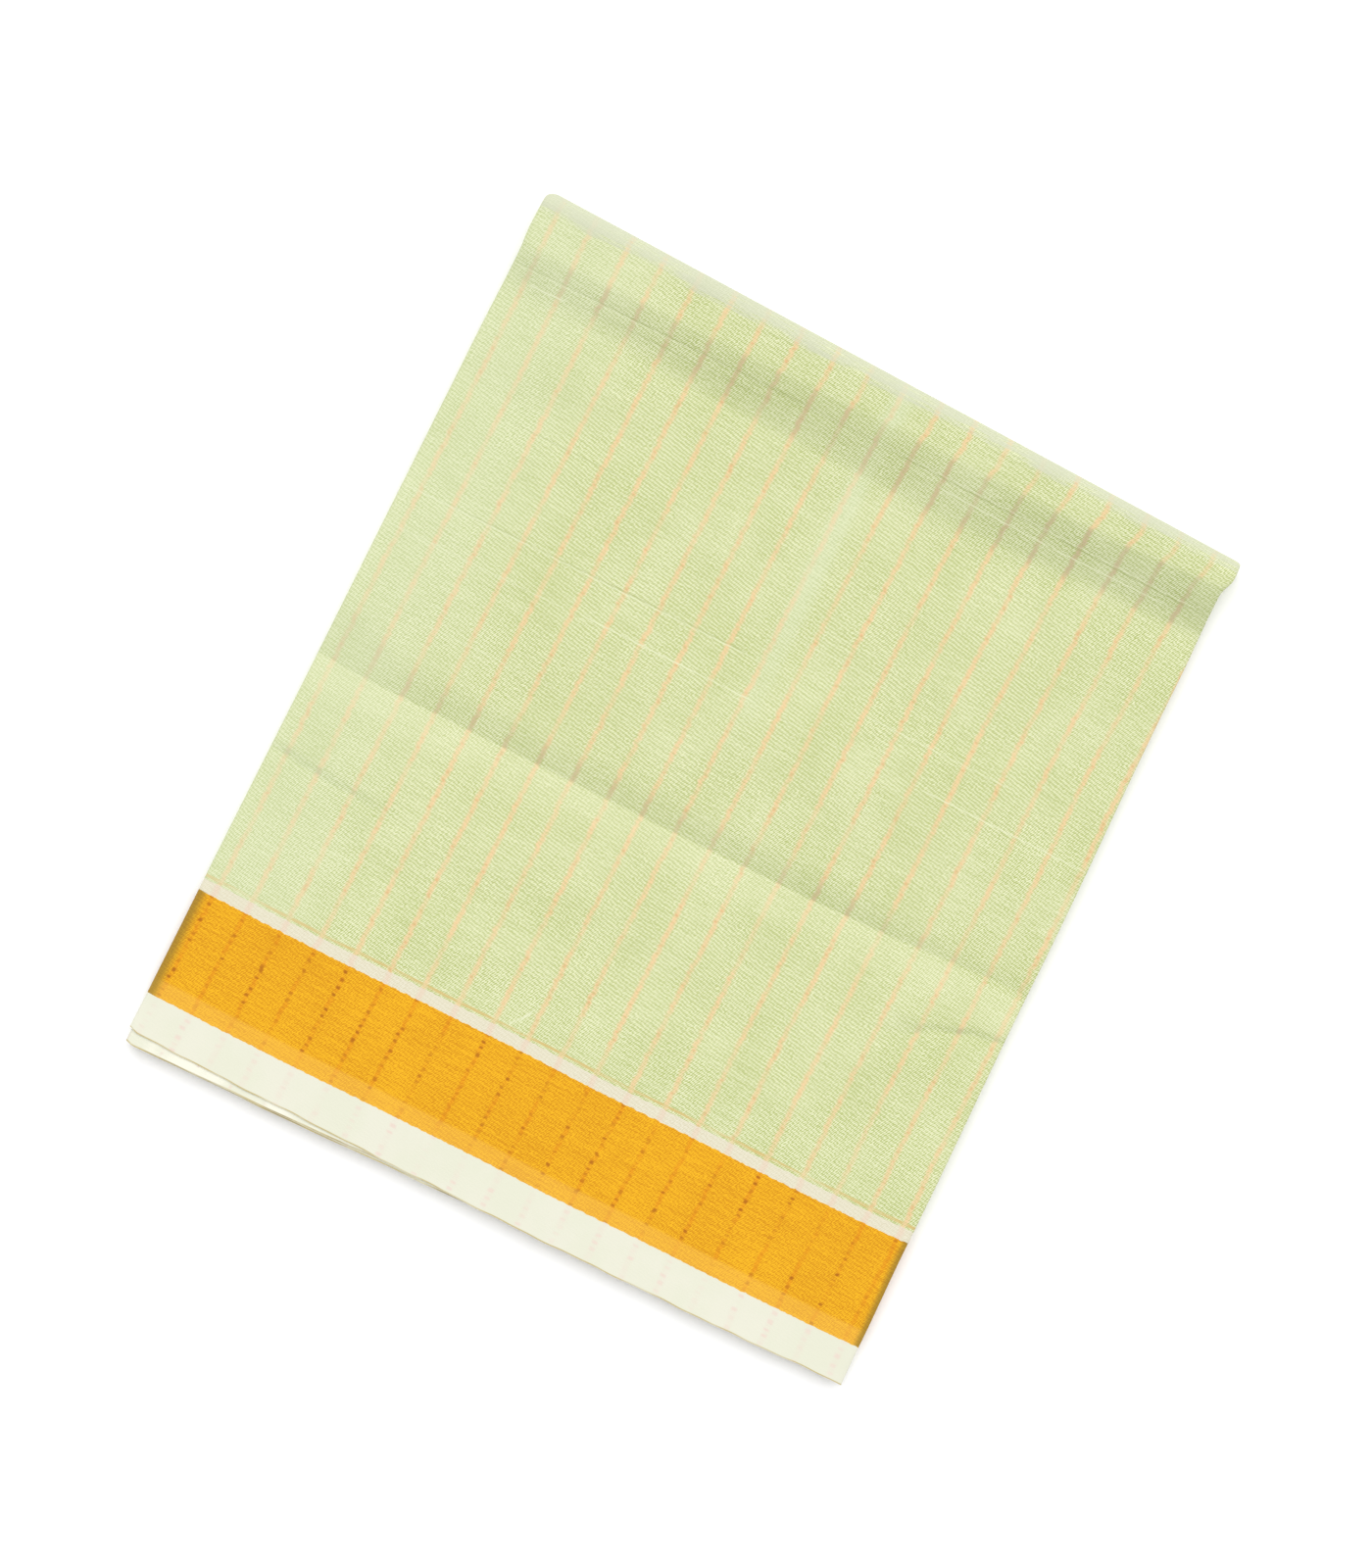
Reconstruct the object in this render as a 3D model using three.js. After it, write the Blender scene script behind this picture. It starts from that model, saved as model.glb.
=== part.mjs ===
// Cotton saree folded flat: the length is folded into twelve panels, side over side, and the
// strip of panels is then folded once across, so that both selvedges lie together at the bottom.
// X runs along the selvedges, Y runs across the cloth up to the fold, Z is up. Millimetres.
import * as THREE from "three";

// Size of the pack as it lies
const PANEL_WIDTH = 508;        // one panel, from side fold to side fold
const HALF_PACK = 8;            // nominal thickness of each half of the pack, twelve layers
const TOP_LEFT = 601.9;         // height of the fold above the selvedge line, at the left end
const TOP_RIGHT = 585.6;        // and at the right end: the fold is a little askew
const FOLD_REACH = 11;          // how far the rounded fold runs out past its axis
const FOLD_LENGTH = 30;         // cloth taken up by the outer layer going round the fold

// Woven zones, measured up from the selvedge line
const SELVEDGE_BAND = 29;       // plain pale band along the selvedge
const BORDER = 73;              // deep coloured border
const ECRU_LINE = 7.5;          // narrow pale line between border and field

// Cloth walls, at the nominal thickness of the pack
const WALL = 1.4;
const GAP = 0.45;               // between walls that lie on each other
const SEAM = 0.3;               // between zones of the same layer
const MID_GAP = 0.2;            // from the middle of the pack to either half

// Side folds
const LEFT_FOLD_REACH = 8;      // rounded side where the outer panel wraps the whole half
const LEFT_RETURN = 30;         // stretch of the wrapped panel that lies in the middle
const RIGHT_FOLD_REACH = 3.5;   // thinner fold at the free end of the outer panel
const RIGHT_FOLD_THICKNESS = 3.1;
const RIGHT_RETURN = 30;        // stretch that both right folds run back into the pack
const RIGHT_INNER_SETBACK = 2;  // the fold below it ends a little further in
const RIGHT_INNER_REACH = 3;

// Layered ends of the hidden layers at the selvedge
const SLIT_SHARE = 0.4;         // slit between two sheets, by the thickness of a sheet
const SLIT_DEPTH = 9;
const SHEET_SETBACKS = [0, 1.2, 0.4, 1.8];
const HIDDEN_SHEETS = SHEET_SETBACKS.length;
const COMB_POINTS = 4 * HIDDEN_SHEETS;

// How far each hidden stack ends inside the selvedge edge of its half
const EDGE_SETBACKS = {
  rightFold: { front: 1.2, back: 1 },
  rightCore: { front: 2.4, back: 2 },
  hidden: { front: 2.5, back: 3 },
};

// Side lines of the pack by height above the selvedge line
const SIDE_LINES = [
  { height: -10, left: -254.2, right: 255.2 },
  { height: 29, left: -253.8, right: 254.3 },
  { height: 102, left: -253.6, right: 252.8 },
  { height: 280, left: -253.0, right: 250.4 },
  { height: 500, left: -252.9, right: 247.2 },
  { height: 560, left: -252.2, right: 245.9 },
  { height: 574, left: -253.2, right: 249.8 },
  { height: 605, left: -252.6, right: 250.4 },
];

// The back half lies a little inside the front one at the sides
const BACK_INSET = { left: 3.2, right: 2.6 };
const BACK_INSET_RUN = 60;      // distance below the fold over which the inset grows

// Selvedge edges by share of the panel width: the front one bows, the back ones show at the left
const SELVEDGE_EDGES = [
  { share: 0, front: 1.9, peek: 8.5 },
  { share: 0.2, front: 0.6, peek: 6.2 },
  { share: 0.4, front: -0.6, peek: 2.4 },
  { share: 0.55, front: -1.3, peek: 0.0 },
  { share: 0.8, front: -0.4, peek: -3.2 },
  { share: 1, front: 1.7, peek: -5.0 },
];

// Thickness of the pack: fuller at the fold, thinner at the selvedges and at the sides
const FACE_THICKNESS = 16;
const SELVEDGE_THINNING = [
  { form: "flatter stack at the selvedges", height: -10, rise: -3.0, above: 130, below: 40 },
];
const FOLD_RISE = { left: 6.0, right: 3.6 };
const FOLD_RISE_START = 556;
const SIDE_SAG = { left: 0.8, right: 1.6, reach: 90 };

// Relief of the upper face: each form lies at a height and fades out above and below it
const RELIEF = [
  { form: "swell over the border", height: 150, rise: 0.5, above: 90, below: 70 },
  { form: "pressed crease across the middle", height: 270, rise: -1.3, above: 44, below: 5 },
  { form: "swell above the crease", height: 345, rise: 0.6, above: 70, below: 40 },
  { form: "valley under the fold", height: 545, rise: -1.2, above: 20, below: 60 },
];

// Stations
const PANEL_STEPS = 10;
const LEFT_FOLD_STEPS = 7;
const RIGHT_FOLD_STEPS = 5;
const FOLD_STEPS = 7;
const FRONT_HEIGHTS = [150, 205, 250, 265, 270, 275, 288, 305, 350, 410, 470, 505, 530, 548];
const BACK_HEIGHTS = [270, 545];
const TOP_PIECE_START = 562;    // where the piece round the fold meets the front and the back
const FOLD_SIDE_PARTS = [0, 0.35, 0.7];
const HIDDEN_NOSE = { from: 165, to: 90, steps: 4 };

const HALF_WIDTH = PANEL_WIDTH / 2;
const BORDER_TOP = SELVEDGE_BAND + BORDER;
const FIELD_START = BORDER_TOP + ECRU_LINE;
const BAND_MIDDLE = SELVEDGE_BAND / 2;
const BORDER_MIDDLE = SELVEDGE_BAND + BORDER / 2;

const materials = {
  field: clothMaterial(0xcfe0ac),
  border: clothMaterial(0xf5ab24),
  ecru: clothMaterial(0xece5d2),
  selvedge: clothMaterial(0xecf0dc),
  hidden: clothMaterial(0xc3d3a4),
};

function clothMaterial(colour) {
  return new THREE.MeshStandardMaterial({ color: colour, roughness: 0.9, metalness: 0 });
}

function mix(a, b, share) {
  return a + (b - a) * share;
}

function eased(share) {
  const t = Math.min(Math.max(share, 0), 1);
  return t * t * (3 - 2 * t);
}

// Value of one column of a table at a place along another column
function readTable(rows, place, column, at) {
  const next = rows.findIndex((row) => row[place] >= at);
  if (next === 0) return rows[0][column];
  if (next < 0) return rows[rows.length - 1][column];
  const low = rows[next - 1];
  const high = rows[next];
  return mix(low[column], high[column], eased((at - low[place]) / (high[place] - low[place])));
}

function shareOf(across) {
  return (across + HALF_WIDTH) / PANEL_WIDTH;
}

// Height of the axis that the pack is folded round
function foldAxis(share) {
  return mix(TOP_LEFT, TOP_RIGHT, share) - FOLD_REACH;
}

// Sum of the forms of a table at a height
function reliefOf(forms, height) {
  let sum = 0;
  for (const { height: at, rise, above, below } of forms) {
    const away = Math.abs(height - at) / (height > at ? above : below);
    if (away < 1) sum += rise * (1 - away * away) ** 2;
  }
  return sum;
}

// Thickness of the whole pack at a place, without the relief of its upper face
function packThickness(share, height) {
  let thickness = FACE_THICKNESS + reliefOf(SELVEDGE_THINNING, height);
  const foldShare = (height - FOLD_RISE_START) / (foldAxis(share) - FOLD_RISE_START);
  thickness += mix(FOLD_RISE.left, FOLD_RISE.right, share) * eased(foldShare);
  const fromLeft = share * PANEL_WIDTH;
  const fromRight = PANEL_WIDTH - fromLeft;
  thickness -= SIDE_SAG.left * (1 - eased(fromLeft / SIDE_SAG.reach));
  thickness -= SIDE_SAG.right * (1 - eased(fromRight / SIDE_SAG.reach));
  return thickness;
}

// Point of the cloth. across is the place along the panel, travel is the distance up the front,
// round the fold and down the back, and layer is the height in its half, from 0 in the middle
// of the pack to HALF_PACK on the outer face.
function clothPoint(across, travel, layer) {
  const share = shareOf(across);
  const depth = layer / HALF_PACK;
  const axis = foldAxis(share);
  const past = travel - axis;
  const turn = Math.min(Math.max(past / FOLD_LENGTH, 0), 1);
  const face = past > FOLD_LENGTH ? axis - (past - FOLD_LENGTH) : Math.min(travel, axis);
  const middle = packThickness(share, face) / 2;
  const angle = Math.PI * (0.5 - turn);
  const height = face + (turn > 0 && turn < 1 ? FOLD_REACH * depth * Math.cos(angle) : 0);
  const inset = turn * eased((axis - face) / BACK_INSET_RUN);
  const left = readTable(SIDE_LINES, "height", "left", face) + inset * BACK_INSET.left;
  const right = readTable(SIDE_LINES, "height", "right", face) - inset * BACK_INSET.right;
  const half = angle > 0 ? middle + reliefOf(RELIEF, face) : middle;
  const lift = middle + half * depth * Math.sin(angle);
  return new THREE.Vector3(mix(left, right, share), height, lift);
}

// Travel at a height on the front, round the fold, and at a height on the back
function onFront(height) {
  return () => height;
}

function onFold(turn) {
  return (share) => foldAxis(share) + FOLD_LENGTH * turn;
}

function onBack(height) {
  return (share) => foldAxis(share) * 2 + FOLD_LENGTH - height;
}

// Selvedge edges of the front and back halves, moved in by a setback
function frontEdge(setback) {
  return (share) => readTable(SELVEDGE_EDGES, "share", "front", share) + setback;
}

function backEdge(setback) {
  return (share) => {
    const front = readTable(SELVEDGE_EDGES, "share", "front", share);
    const edge = front - readTable(SELVEDGE_EDGES, "share", "peek", share) + setback;
    return foldAxis(share) * 2 + FOLD_LENGTH - edge;
  };
}

// Half ellipse of [across, layer] points from one angle to another, in degrees
function turnPoints(centre, middle, reach, rise, from, to, steps) {
  return Array.from({ length: steps + 1 }, (_, i) => {
    const angle = THREE.MathUtils.degToRad(mix(from, to, i / steps));
    return [centre + reach * Math.cos(angle), middle + rise * Math.sin(angle)];
  });
}

// Places along the panel between the two side folds, from right to left
function panelPlaces() {
  const right = HALF_WIDTH - RIGHT_FOLD_REACH;
  const left = -HALF_WIDTH + LEFT_FOLD_REACH;
  return Array.from({ length: PANEL_STEPS + 1 }, (_, i) => mix(right, left, i / PANEL_STEPS));
}

// One face of the outer panel, inset from its outer surface: the turned-under free end at the
// right, the broad panel, and the left side fold with its return in the middle of the pack
function outerLine(inset) {
  const rightCentre = HALF_WIDTH - RIGHT_FOLD_REACH;
  const rightMiddle = HALF_PACK - RIGHT_FOLD_THICKNESS / 2;
  const rightRise = RIGHT_FOLD_THICKNESS / 2 - inset;
  const leftCentre = -HALF_WIDTH + LEFT_FOLD_REACH;
  const leftMiddle = (HALF_PACK + MID_GAP) / 2;
  const leftRise = (HALF_PACK - MID_GAP) / 2 - inset;
  const layer = HALF_PACK - inset;
  return [
    [rightCentre - RIGHT_RETURN, rightMiddle - rightRise],
    ...turnPoints(rightCentre, rightMiddle, RIGHT_FOLD_REACH - inset, rightRise, -90, 90,
      RIGHT_FOLD_STEPS),
    ...panelPlaces().slice(1, -1).map((across) => [across, layer]),
    ...turnPoints(leftCentre, leftMiddle, LEFT_FOLD_REACH - inset, leftRise, 90, 270,
      LEFT_FOLD_STEPS),
    [leftCentre + LEFT_RETURN, leftMiddle - leftRise],
  ];
}

// One face of the fold that lies below the free end of the outer panel at the right
function rightFoldLine(inset) {
  const centre = HALF_WIDTH - RIGHT_INNER_SETBACK - RIGHT_INNER_REACH;
  const top = HALF_PACK - RIGHT_FOLD_THICKNESS - GAP;
  const middle = (top + MID_GAP) / 2;
  const rise = (top - MID_GAP) / 2 - inset;
  const end = HALF_WIDTH - RIGHT_FOLD_REACH - RIGHT_RETURN;
  return [
    [end, middle - rise],
    ...turnPoints(centre, middle, RIGHT_INNER_REACH - inset, rise, -90, 90, RIGHT_FOLD_STEPS),
    [end, middle + rise],
  ];
}

// Closed body through rings of equal length. cap holds the triangles that fill one ring.
function loft(rings, cap) {
  const count = rings[0].length;
  const places = rings.flat().flatMap((point) => [point.x, point.y, point.z]);
  const faces = [];
  for (let row = 0; row + 1 < rings.length; row++) {
    for (let i = 0; i < count; i++) {
      const next = (i + 1) % count;
      const [a, b] = [row * count + i, row * count + next];
      const [c, d] = [a + count, b + count];
      faces.push(a, b, d, a, d, c);
    }
  }
  const last = (rings.length - 1) * count;
  for (const [a, b, c] of cap) {
    faces.push(a, c, b, last + a, last + b, last + c);
  }
  const geometry = new THREE.BufferGeometry();
  geometry.setAttribute("position", new THREE.Float32BufferAttribute(places, 3));
  geometry.setIndex(outward(faces, places));
  return geometry;
}

// Triangles across a ring whose second half runs back along its first
function stripCap(count) {
  const cap = [];
  for (let i = 0; i + 1 < count - 1 - i; i++) {
    const far = count - 1 - i;
    cap.push([i, i + 1, far]);
    if (i + 1 < far - 1) cap.push([i + 1, far - 1, far]);
  }
  return cap;
}

// Faces turned to point out of the body, whichever way its rings ran
function outward(faces, places) {
  const corner = (i) => new THREE.Vector3().fromArray(places, faces[i] * 3);
  let volume = 0;
  for (let i = 0; i < faces.length; i += 3) {
    volume += corner(i).dot(corner(i + 1).cross(corner(i + 2)));
  }
  if (volume > 0) return faces;
  return faces.map((_, i) => faces[i - (i % 3) + (2 - (i % 3))]);
}

// Wall with a fixed section in [across, layer], run along the travel stations
function clothWall(section, stations) {
  const rings = stations.map((travelAt) =>
    section.map(([across, layer]) => clothPoint(across, travelAt(shareOf(across)), layer)));
  return loft(rings, stripCap(section.length));
}

// Whole section of the outer panel, and of the fold below its free end
function outerSection() {
  return [...outerLine(0), ...outerLine(WALL).reverse()];
}

function rightFoldSection() {
  return [...rightFoldLine(0), ...rightFoldLine(WALL).reverse()];
}

// Hidden layers between the legs of the fold at the right
function rightCoreSection() {
  return rightFoldLine(WALL + GAP);
}

// Places across one zone of the front or back, a seam's width inside its two ends
function zoneStations(side, low, high, between = []) {
  return [low + SEAM / 2, ...between, high - SEAM / 2].map((height) => side(height));
}

function foldStations() {
  return Array.from({ length: FOLD_STEPS + 1 }, (_, i) => onFold(i / FOLD_STEPS));
}

function betweenTopAndAxis(side) {
  const start = TOP_PIECE_START + SEAM / 2;
  return FOLD_SIDE_PARTS.map((part) => (share) => side(mix(start, foldAxis(share), part))(share));
}

// Every station of the pack between its two selvedge edges
function bodyStations() {
  const lows = [BAND_MIDDLE, SELVEDGE_BAND, BORDER_MIDDLE, BORDER_TOP, FIELD_START];
  return [
    ...[...lows, ...FRONT_HEIGHTS].map(onFront),
    ...betweenTopAndAxis(onFront),
    ...foldStations(),
    ...betweenTopAndAxis(onBack).reverse(),
    ...[...lows, ...BACK_HEIGHTS].reverse().map(onBack),
  ];
}

function wholeStations({ front, back }) {
  return [frontEdge(front), ...bodyStations(), backEdge(back)];
}

// The hidden layers as one rounded solid with layered ends: rings run up the front, round the
// fold and down the back, and follow each other from the left side of the pack to the right
function hiddenLayers() {
  const leftCentre = -HALF_WIDTH + LEFT_FOLD_REACH;
  const middle = (HALF_PACK + MID_GAP) / 2;
  const high = HALF_PACK - WALL - GAP;
  const returnEnd = leftCentre + LEFT_RETURN + GAP;
  const rightEnd = HALF_WIDTH - RIGHT_FOLD_REACH - RIGHT_RETURN - GAP;
  const reach = LEFT_FOLD_REACH - WALL - GAP;
  const { from, to, steps } = HIDDEN_NOSE;
  const rounded = turnPoints(leftCentre, middle, reach, high - middle, from, to, steps);
  const broad = panelPlaces().reverse()
    .filter((across) => across > returnEnd + GAP && across < rightEnd);
  const columns = [
    ...rounded.map(([across, layer]) => ({ across, low: 2 * middle - layer, high: layer })),
    { across: returnEnd, low: 2 * middle - high, high },
    ...[returnEnd + GAP, ...broad, rightEnd].map((across) => ({ across, low: MID_GAP, high })),
  ];
  const rings = columns.map(hiddenRing);
  return loft(rings, hiddenCap((rings[0].length - 2 * COMB_POINTS) / 2));
}

// Front comb, outer line, back comb and inner line of the hidden layers at one place
function hiddenRing({ across, low, high }) {
  const share = shareOf(across);
  const travels = bodyStations().map((travelAt) => travelAt(share));
  const { front, back } = EDGE_SETBACKS.hidden;
  const ring = [
    ...combPoints(frontEdge(front)(share), 1, low, high),
    ...travels.map((travel) => [travel, high]),
    ...combPoints(backEdge(back)(share), -1, low, high).reverse(),
    ...travels.map((travel) => [travel, low]).reverse(),
  ];
  return ring.map(([travel, layer]) => clothPoint(across, travel, layer));
}

// Layered end of the hidden stack, from its inner sheet to its outer one
function combPoints(start, inward, low, high) {
  const sheet = (high - low) / (HIDDEN_SHEETS + (HIDDEN_SHEETS - 1) * SLIT_SHARE);
  const root = start + inward * SLIT_DEPTH;
  return SHEET_SETBACKS.flatMap((setback, i) => {
    const end = start + inward * setback;
    const under = low + i * sheet * (1 + SLIT_SHARE);
    const over = under + sheet;
    return [[root, under], [end, under], [end, over], [root, over]];
  });
}

// Triangles across one ring of the hidden layers, with a given number of stations
function hiddenCap(stations) {
  const outer = (i) => COMB_POINTS + i;
  const inner = (i) => 2 * COMB_POINTS + 2 * stations - 1 - i;
  const cap = [];
  for (const start of [0, COMB_POINTS + stations]) {
    for (let i = start; i < start + COMB_POINTS; i += 4) {
      cap.push([i, i + 1, i + 2], [i, i + 2, i + 3]);
    }
  }
  for (let i = 0; i + 1 < stations; i++) {
    cap.push([outer(i), outer(i + 1), inner(i + 1)], [outer(i), inner(i + 1), inner(i)]);
  }
  const roots = SHEET_SETBACKS.flatMap((_, i) => [4 * i, 4 * i + 3]);
  const front = [...roots, outer(0)];
  const back = [outer(stations - 1), ...roots.map((i) => COMB_POINTS + stations + i)];
  front.slice(1).forEach((next, i) => cap.push([inner(0), front[i], next]));
  back.slice(1).forEach((next, i) => cap.push([inner(stations - 1), back[i], next]));
  return cap;
}

function piece(name, geometry, material) {
  const mesh = new THREE.Mesh(geometry, material);
  mesh.name = name;
  return mesh;
}

const outer = outerSection();
const frontBand = [frontEdge(0), onFront(BAND_MIDDLE), onFront(SELVEDGE_BAND - SEAM / 2)];
const backBand = [onBack(SELVEDGE_BAND - SEAM / 2), onBack(BAND_MIDDLE), backEdge(0)];
const topFold = [...betweenTopAndAxis(onFront), ...foldStations(),
  ...betweenTopAndAxis(onBack).reverse()];

const group = new THREE.Group();
group.add(
  piece("selvedge_band_front", clothWall(outer, frontBand), materials.selvedge),
  piece("border_front",
    clothWall(outer, zoneStations(onFront, SELVEDGE_BAND, BORDER_TOP, [BORDER_MIDDLE])),
    materials.border),
  piece("ecru_line_front",
    clothWall(outer, zoneStations(onFront, BORDER_TOP, FIELD_START)), materials.ecru),
  piece("field_front",
    clothWall(outer, zoneStations(onFront, FIELD_START, TOP_PIECE_START, FRONT_HEIGHTS)),
    materials.field),
  piece("field_top_fold", clothWall(outer, topFold), materials.field),
  piece("field_back",
    clothWall(outer, zoneStations(onBack, FIELD_START, TOP_PIECE_START, BACK_HEIGHTS)),
    materials.field),
  piece("ecru_line_back",
    clothWall(outer, zoneStations(onBack, BORDER_TOP, FIELD_START)), materials.ecru),
  piece("border_back",
    clothWall(outer, zoneStations(onBack, SELVEDGE_BAND, BORDER_TOP, [BORDER_MIDDLE])),
    materials.border),
  piece("selvedge_band_back", clothWall(outer, backBand), materials.selvedge),
  piece("right_side_fold",
    clothWall(rightFoldSection(), wholeStations(EDGE_SETBACKS.rightFold)), materials.hidden),
  piece("right_fold_core",
    clothWall(rightCoreSection(), wholeStations(EDGE_SETBACKS.rightCore)), materials.hidden),
  piece("inner_layers", hiddenLayers(), materials.hidden),
);

// The origin is the middle of the flat underside
const bounds = new THREE.Box3().setFromObject(group);
group.position.set(-(bounds.min.x + bounds.max.x) / 2, -(bounds.min.y + bounds.max.y) / 2, 0);

export default group;
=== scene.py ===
import math

import bpy
import numpy as np
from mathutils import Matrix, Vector

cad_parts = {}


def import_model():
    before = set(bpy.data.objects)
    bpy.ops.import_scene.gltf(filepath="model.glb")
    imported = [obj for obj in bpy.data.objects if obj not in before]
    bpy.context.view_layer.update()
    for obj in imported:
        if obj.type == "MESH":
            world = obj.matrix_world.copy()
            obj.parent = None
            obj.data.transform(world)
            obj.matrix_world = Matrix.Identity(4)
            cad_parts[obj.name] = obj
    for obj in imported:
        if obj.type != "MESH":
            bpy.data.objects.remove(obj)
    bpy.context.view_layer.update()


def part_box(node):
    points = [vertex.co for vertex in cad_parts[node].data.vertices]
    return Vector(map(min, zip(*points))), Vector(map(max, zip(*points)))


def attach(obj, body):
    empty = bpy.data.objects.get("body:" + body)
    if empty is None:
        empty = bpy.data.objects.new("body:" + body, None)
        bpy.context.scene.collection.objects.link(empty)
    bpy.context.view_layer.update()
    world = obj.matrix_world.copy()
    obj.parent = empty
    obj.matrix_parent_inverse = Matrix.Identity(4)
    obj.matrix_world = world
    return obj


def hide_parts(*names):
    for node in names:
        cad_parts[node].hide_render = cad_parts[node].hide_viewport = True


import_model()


# ------------------------
# Inner lengths of the saree: one long length of thin handloom cotton, folded side over side into
# panels. All but the outermost panel lie inside the pack, and are seen only at its edges. Then
# the strip of panels is folded once across, so both selvedges lie together. Millimetres.
PANEL_WIDTH = 508.0
HALF_WIDTH = PANEL_WIDTH / 2
HALF_PACK = 8.0
LAYERS = 12
CLOTH = 0.42
MID_GAP = 0.2

# The fold across: its outer edge, how deep it is and how far the cloth runs round it. Then heights
# of the flat part and of the woven zones
FOLD_TOP = {"left": 601.9, "right": 585.6}
FOLD_REACH = 11.0
FOLD_LENGTH = 30.0
FLAT_TOP = 565.0
SELVEDGE_TOP = 28.1
BORDER_TOP = 102.0
FIELD_START = 109.5

# Height up the pack, left side line, right side line
SIDE_LINES = [
    (-10, -254.2, 255.2), (29, -253.8, 254.3), (102, -253.6, 252.8), (280, -253, 250.4),
    (500, -252.9, 247.2), (560, -252.2, 245.9), (574, -253.2, 249.8), (605, -252.6, 250.4),
]
BACK_INSET = {"left": 3.2, "right": 2.6, "run": 60.0}
EDGE_TUCK = {"rise": 1.7, "reach": 7.0}

# Share of the width, selvedge edge of the front, how far the back peeks out below it
SELVEDGE_EDGES = [
    (0, 1.9, 8.5), (0.2, 0.6, 6.2), (0.4, -0.6, 2.4),
    (0.55, -1.3, 0), (0.8, -0.4, -3.2), (1, 1.7, -5),
]

# Share of the width, how far the woven lines of the face wander off their height, and where up the
# field that wander fades out
BAND_WANDER = [
    (0, 0.6), (0.03, 0.6), (0.1, 0), (0.2, -0.3), (0.32, 0), (0.45, 0), (0.57, -0.9),
    (0.69, -0.6), (0.81, -0.9), (0.94, -0.6), (1, 0.1),
]
WANDER_FADE = {"start": 112, "reach": 50}

PACK_THICKNESS = 16.0
SELVEDGE_THINNING = {"height": -10, "loss": 3, "reach": 130.0}
FOLD_RISE = {"left": 5, "right": 4, "start": 528, "end": 566.0}
SIDE_SAG = {"left": 0.8, "right": 1.6, "reach": 90.0}
# How far below the fold the forms of the faces fade out
CALM_BY_FOLD = 22

# Forms of the upper face: how its section runs, the rise on its line, how far it fades out on the
# upper and lower side, and the line itself in (across, height, strength)
UPPER_FORMS = [
    ("swell over the border", "round", 0.5, 90, 70, [(-300, 150, 1), (300, 150, 1)]),
    ("pressed crease across the middle", "sharp", -1.3, 27, 34,
     [(-300, 274, 0.6), (-252, 272.5, 0.6), (-235, 270.4, 0.8), (-100, 270.2, 0.9), (0, 270.3, 1.1),
      (150, 271, 1.1), (181, 273.1, 0.9), (247, 277.2, 0.9), (300, 280, 0.9)]),
    ("slack above the crease", "round", -0.5, 30, 22,
     [(-300, 288, 0.6), (0, 286, 1), (300, 288, 0.8)]),
    ("swell above the crease", "round", 0.6, 70, 40, [(-300, 350, 1), (300, 350, 1)]),
    ("valley under the fold", "round", -0.9, 24, 40,
     [(-300, 545, 0.4), (-200, 540, 0.5), (0, 533, 1), (200, 533, 1.2), (300, 535, 1.2)]),
    ("fold line in the valley", "sharp", -0.35, 4, 5,
     [(-300, 552.4, 0.7), (-120, 550.4, 1), (120, 547.7, 1), (300, 545.7, 0.8)]),
    ("lower lip of the valley", "sharp", -0.5, 12, 8,
     [(-165, 530, 0), (-120, 528, 0.9), (20, 526.5, 1), (130, 527.5, 0.9), (175, 530, 0)]),
    ("small crease at the left side", "sharp", -0.55, 11, 9,
     [(-262, 208, 0.8), (-239, 205.6, 1), (-188, 200.6, 1), (-165, 198, 0.6), (-132, 195, 0)]),
    ("curved crease at the right side", "sharp", -0.8, 14, 12,
     [(178, 218, 0), (198, 228, 0.7), (221, 236, 1), (247, 243, 1), (262, 246, 1)]),
    ("ridge at the right side", "round", 0.4, 5, 9,
     [(203, 355, 0), (222, 330, 1), (247, 306, 0.6), (262, 292, 0)]),
    ("nick at the right end of the crease", "round", 0.6, 3, 3,
     [(236, 278, 0), (246, 277.8, 1), (258, 278, 1)]),
    ("ridge up the field", "round", 0.22, 4.5, 4.5,
     [(13, 60, 0), (12, 125, 1), (11, 350, 1), (9.5, 520, 1), (9, 560, 0)]),
    ("trough in the upper field", "round", -0.8, 26, 30,
     [(-300, 468, 1), (-150, 476, 1), (-50, 492, 0.9), (60, 505, 0.9), (150, 490, 0.5), (230, 470, 0)]),
    ("trough in the middle field", "round", -0.5, 22, 26,
     [(-90, 410, 0), (0, 402, 0.8), (110, 408, 1), (200, 425, 0.7), (300, 430, 0.5)]),
    ("trough in the lower field", "round", -0.6, 24, 30,
     [(-230, 168, 0), (-120, 176, 0.9), (0, 186, 1), (110, 172, 0.9), (210, 180, 0.3)]),
    ("puckers by the right side", "round", 0.3, 8, 12,
     [(168, 196, 0), (205, 205, 1), (238, 215, 0.6), (262, 222, 0)]),
    ("pucker under the left end of the fold", "sharp", -0.6, 3, 4,
     [(-262, 581, 0.8), (-246, 578, 0.7), (-234, 576, 0)]),
    ("second pucker", "sharp", -0.5, 3, 4, [(-262, 573, 0.8), (-249, 571.5, 0.7), (-240, 571, 0)]),
    ("pull from the left side", "round", 0.3, 9, 13,
     [(-262, 392, 0.8), (-215, 384, 1), (-160, 368, 0.7), (-110, 356, 0)]),
]

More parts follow.
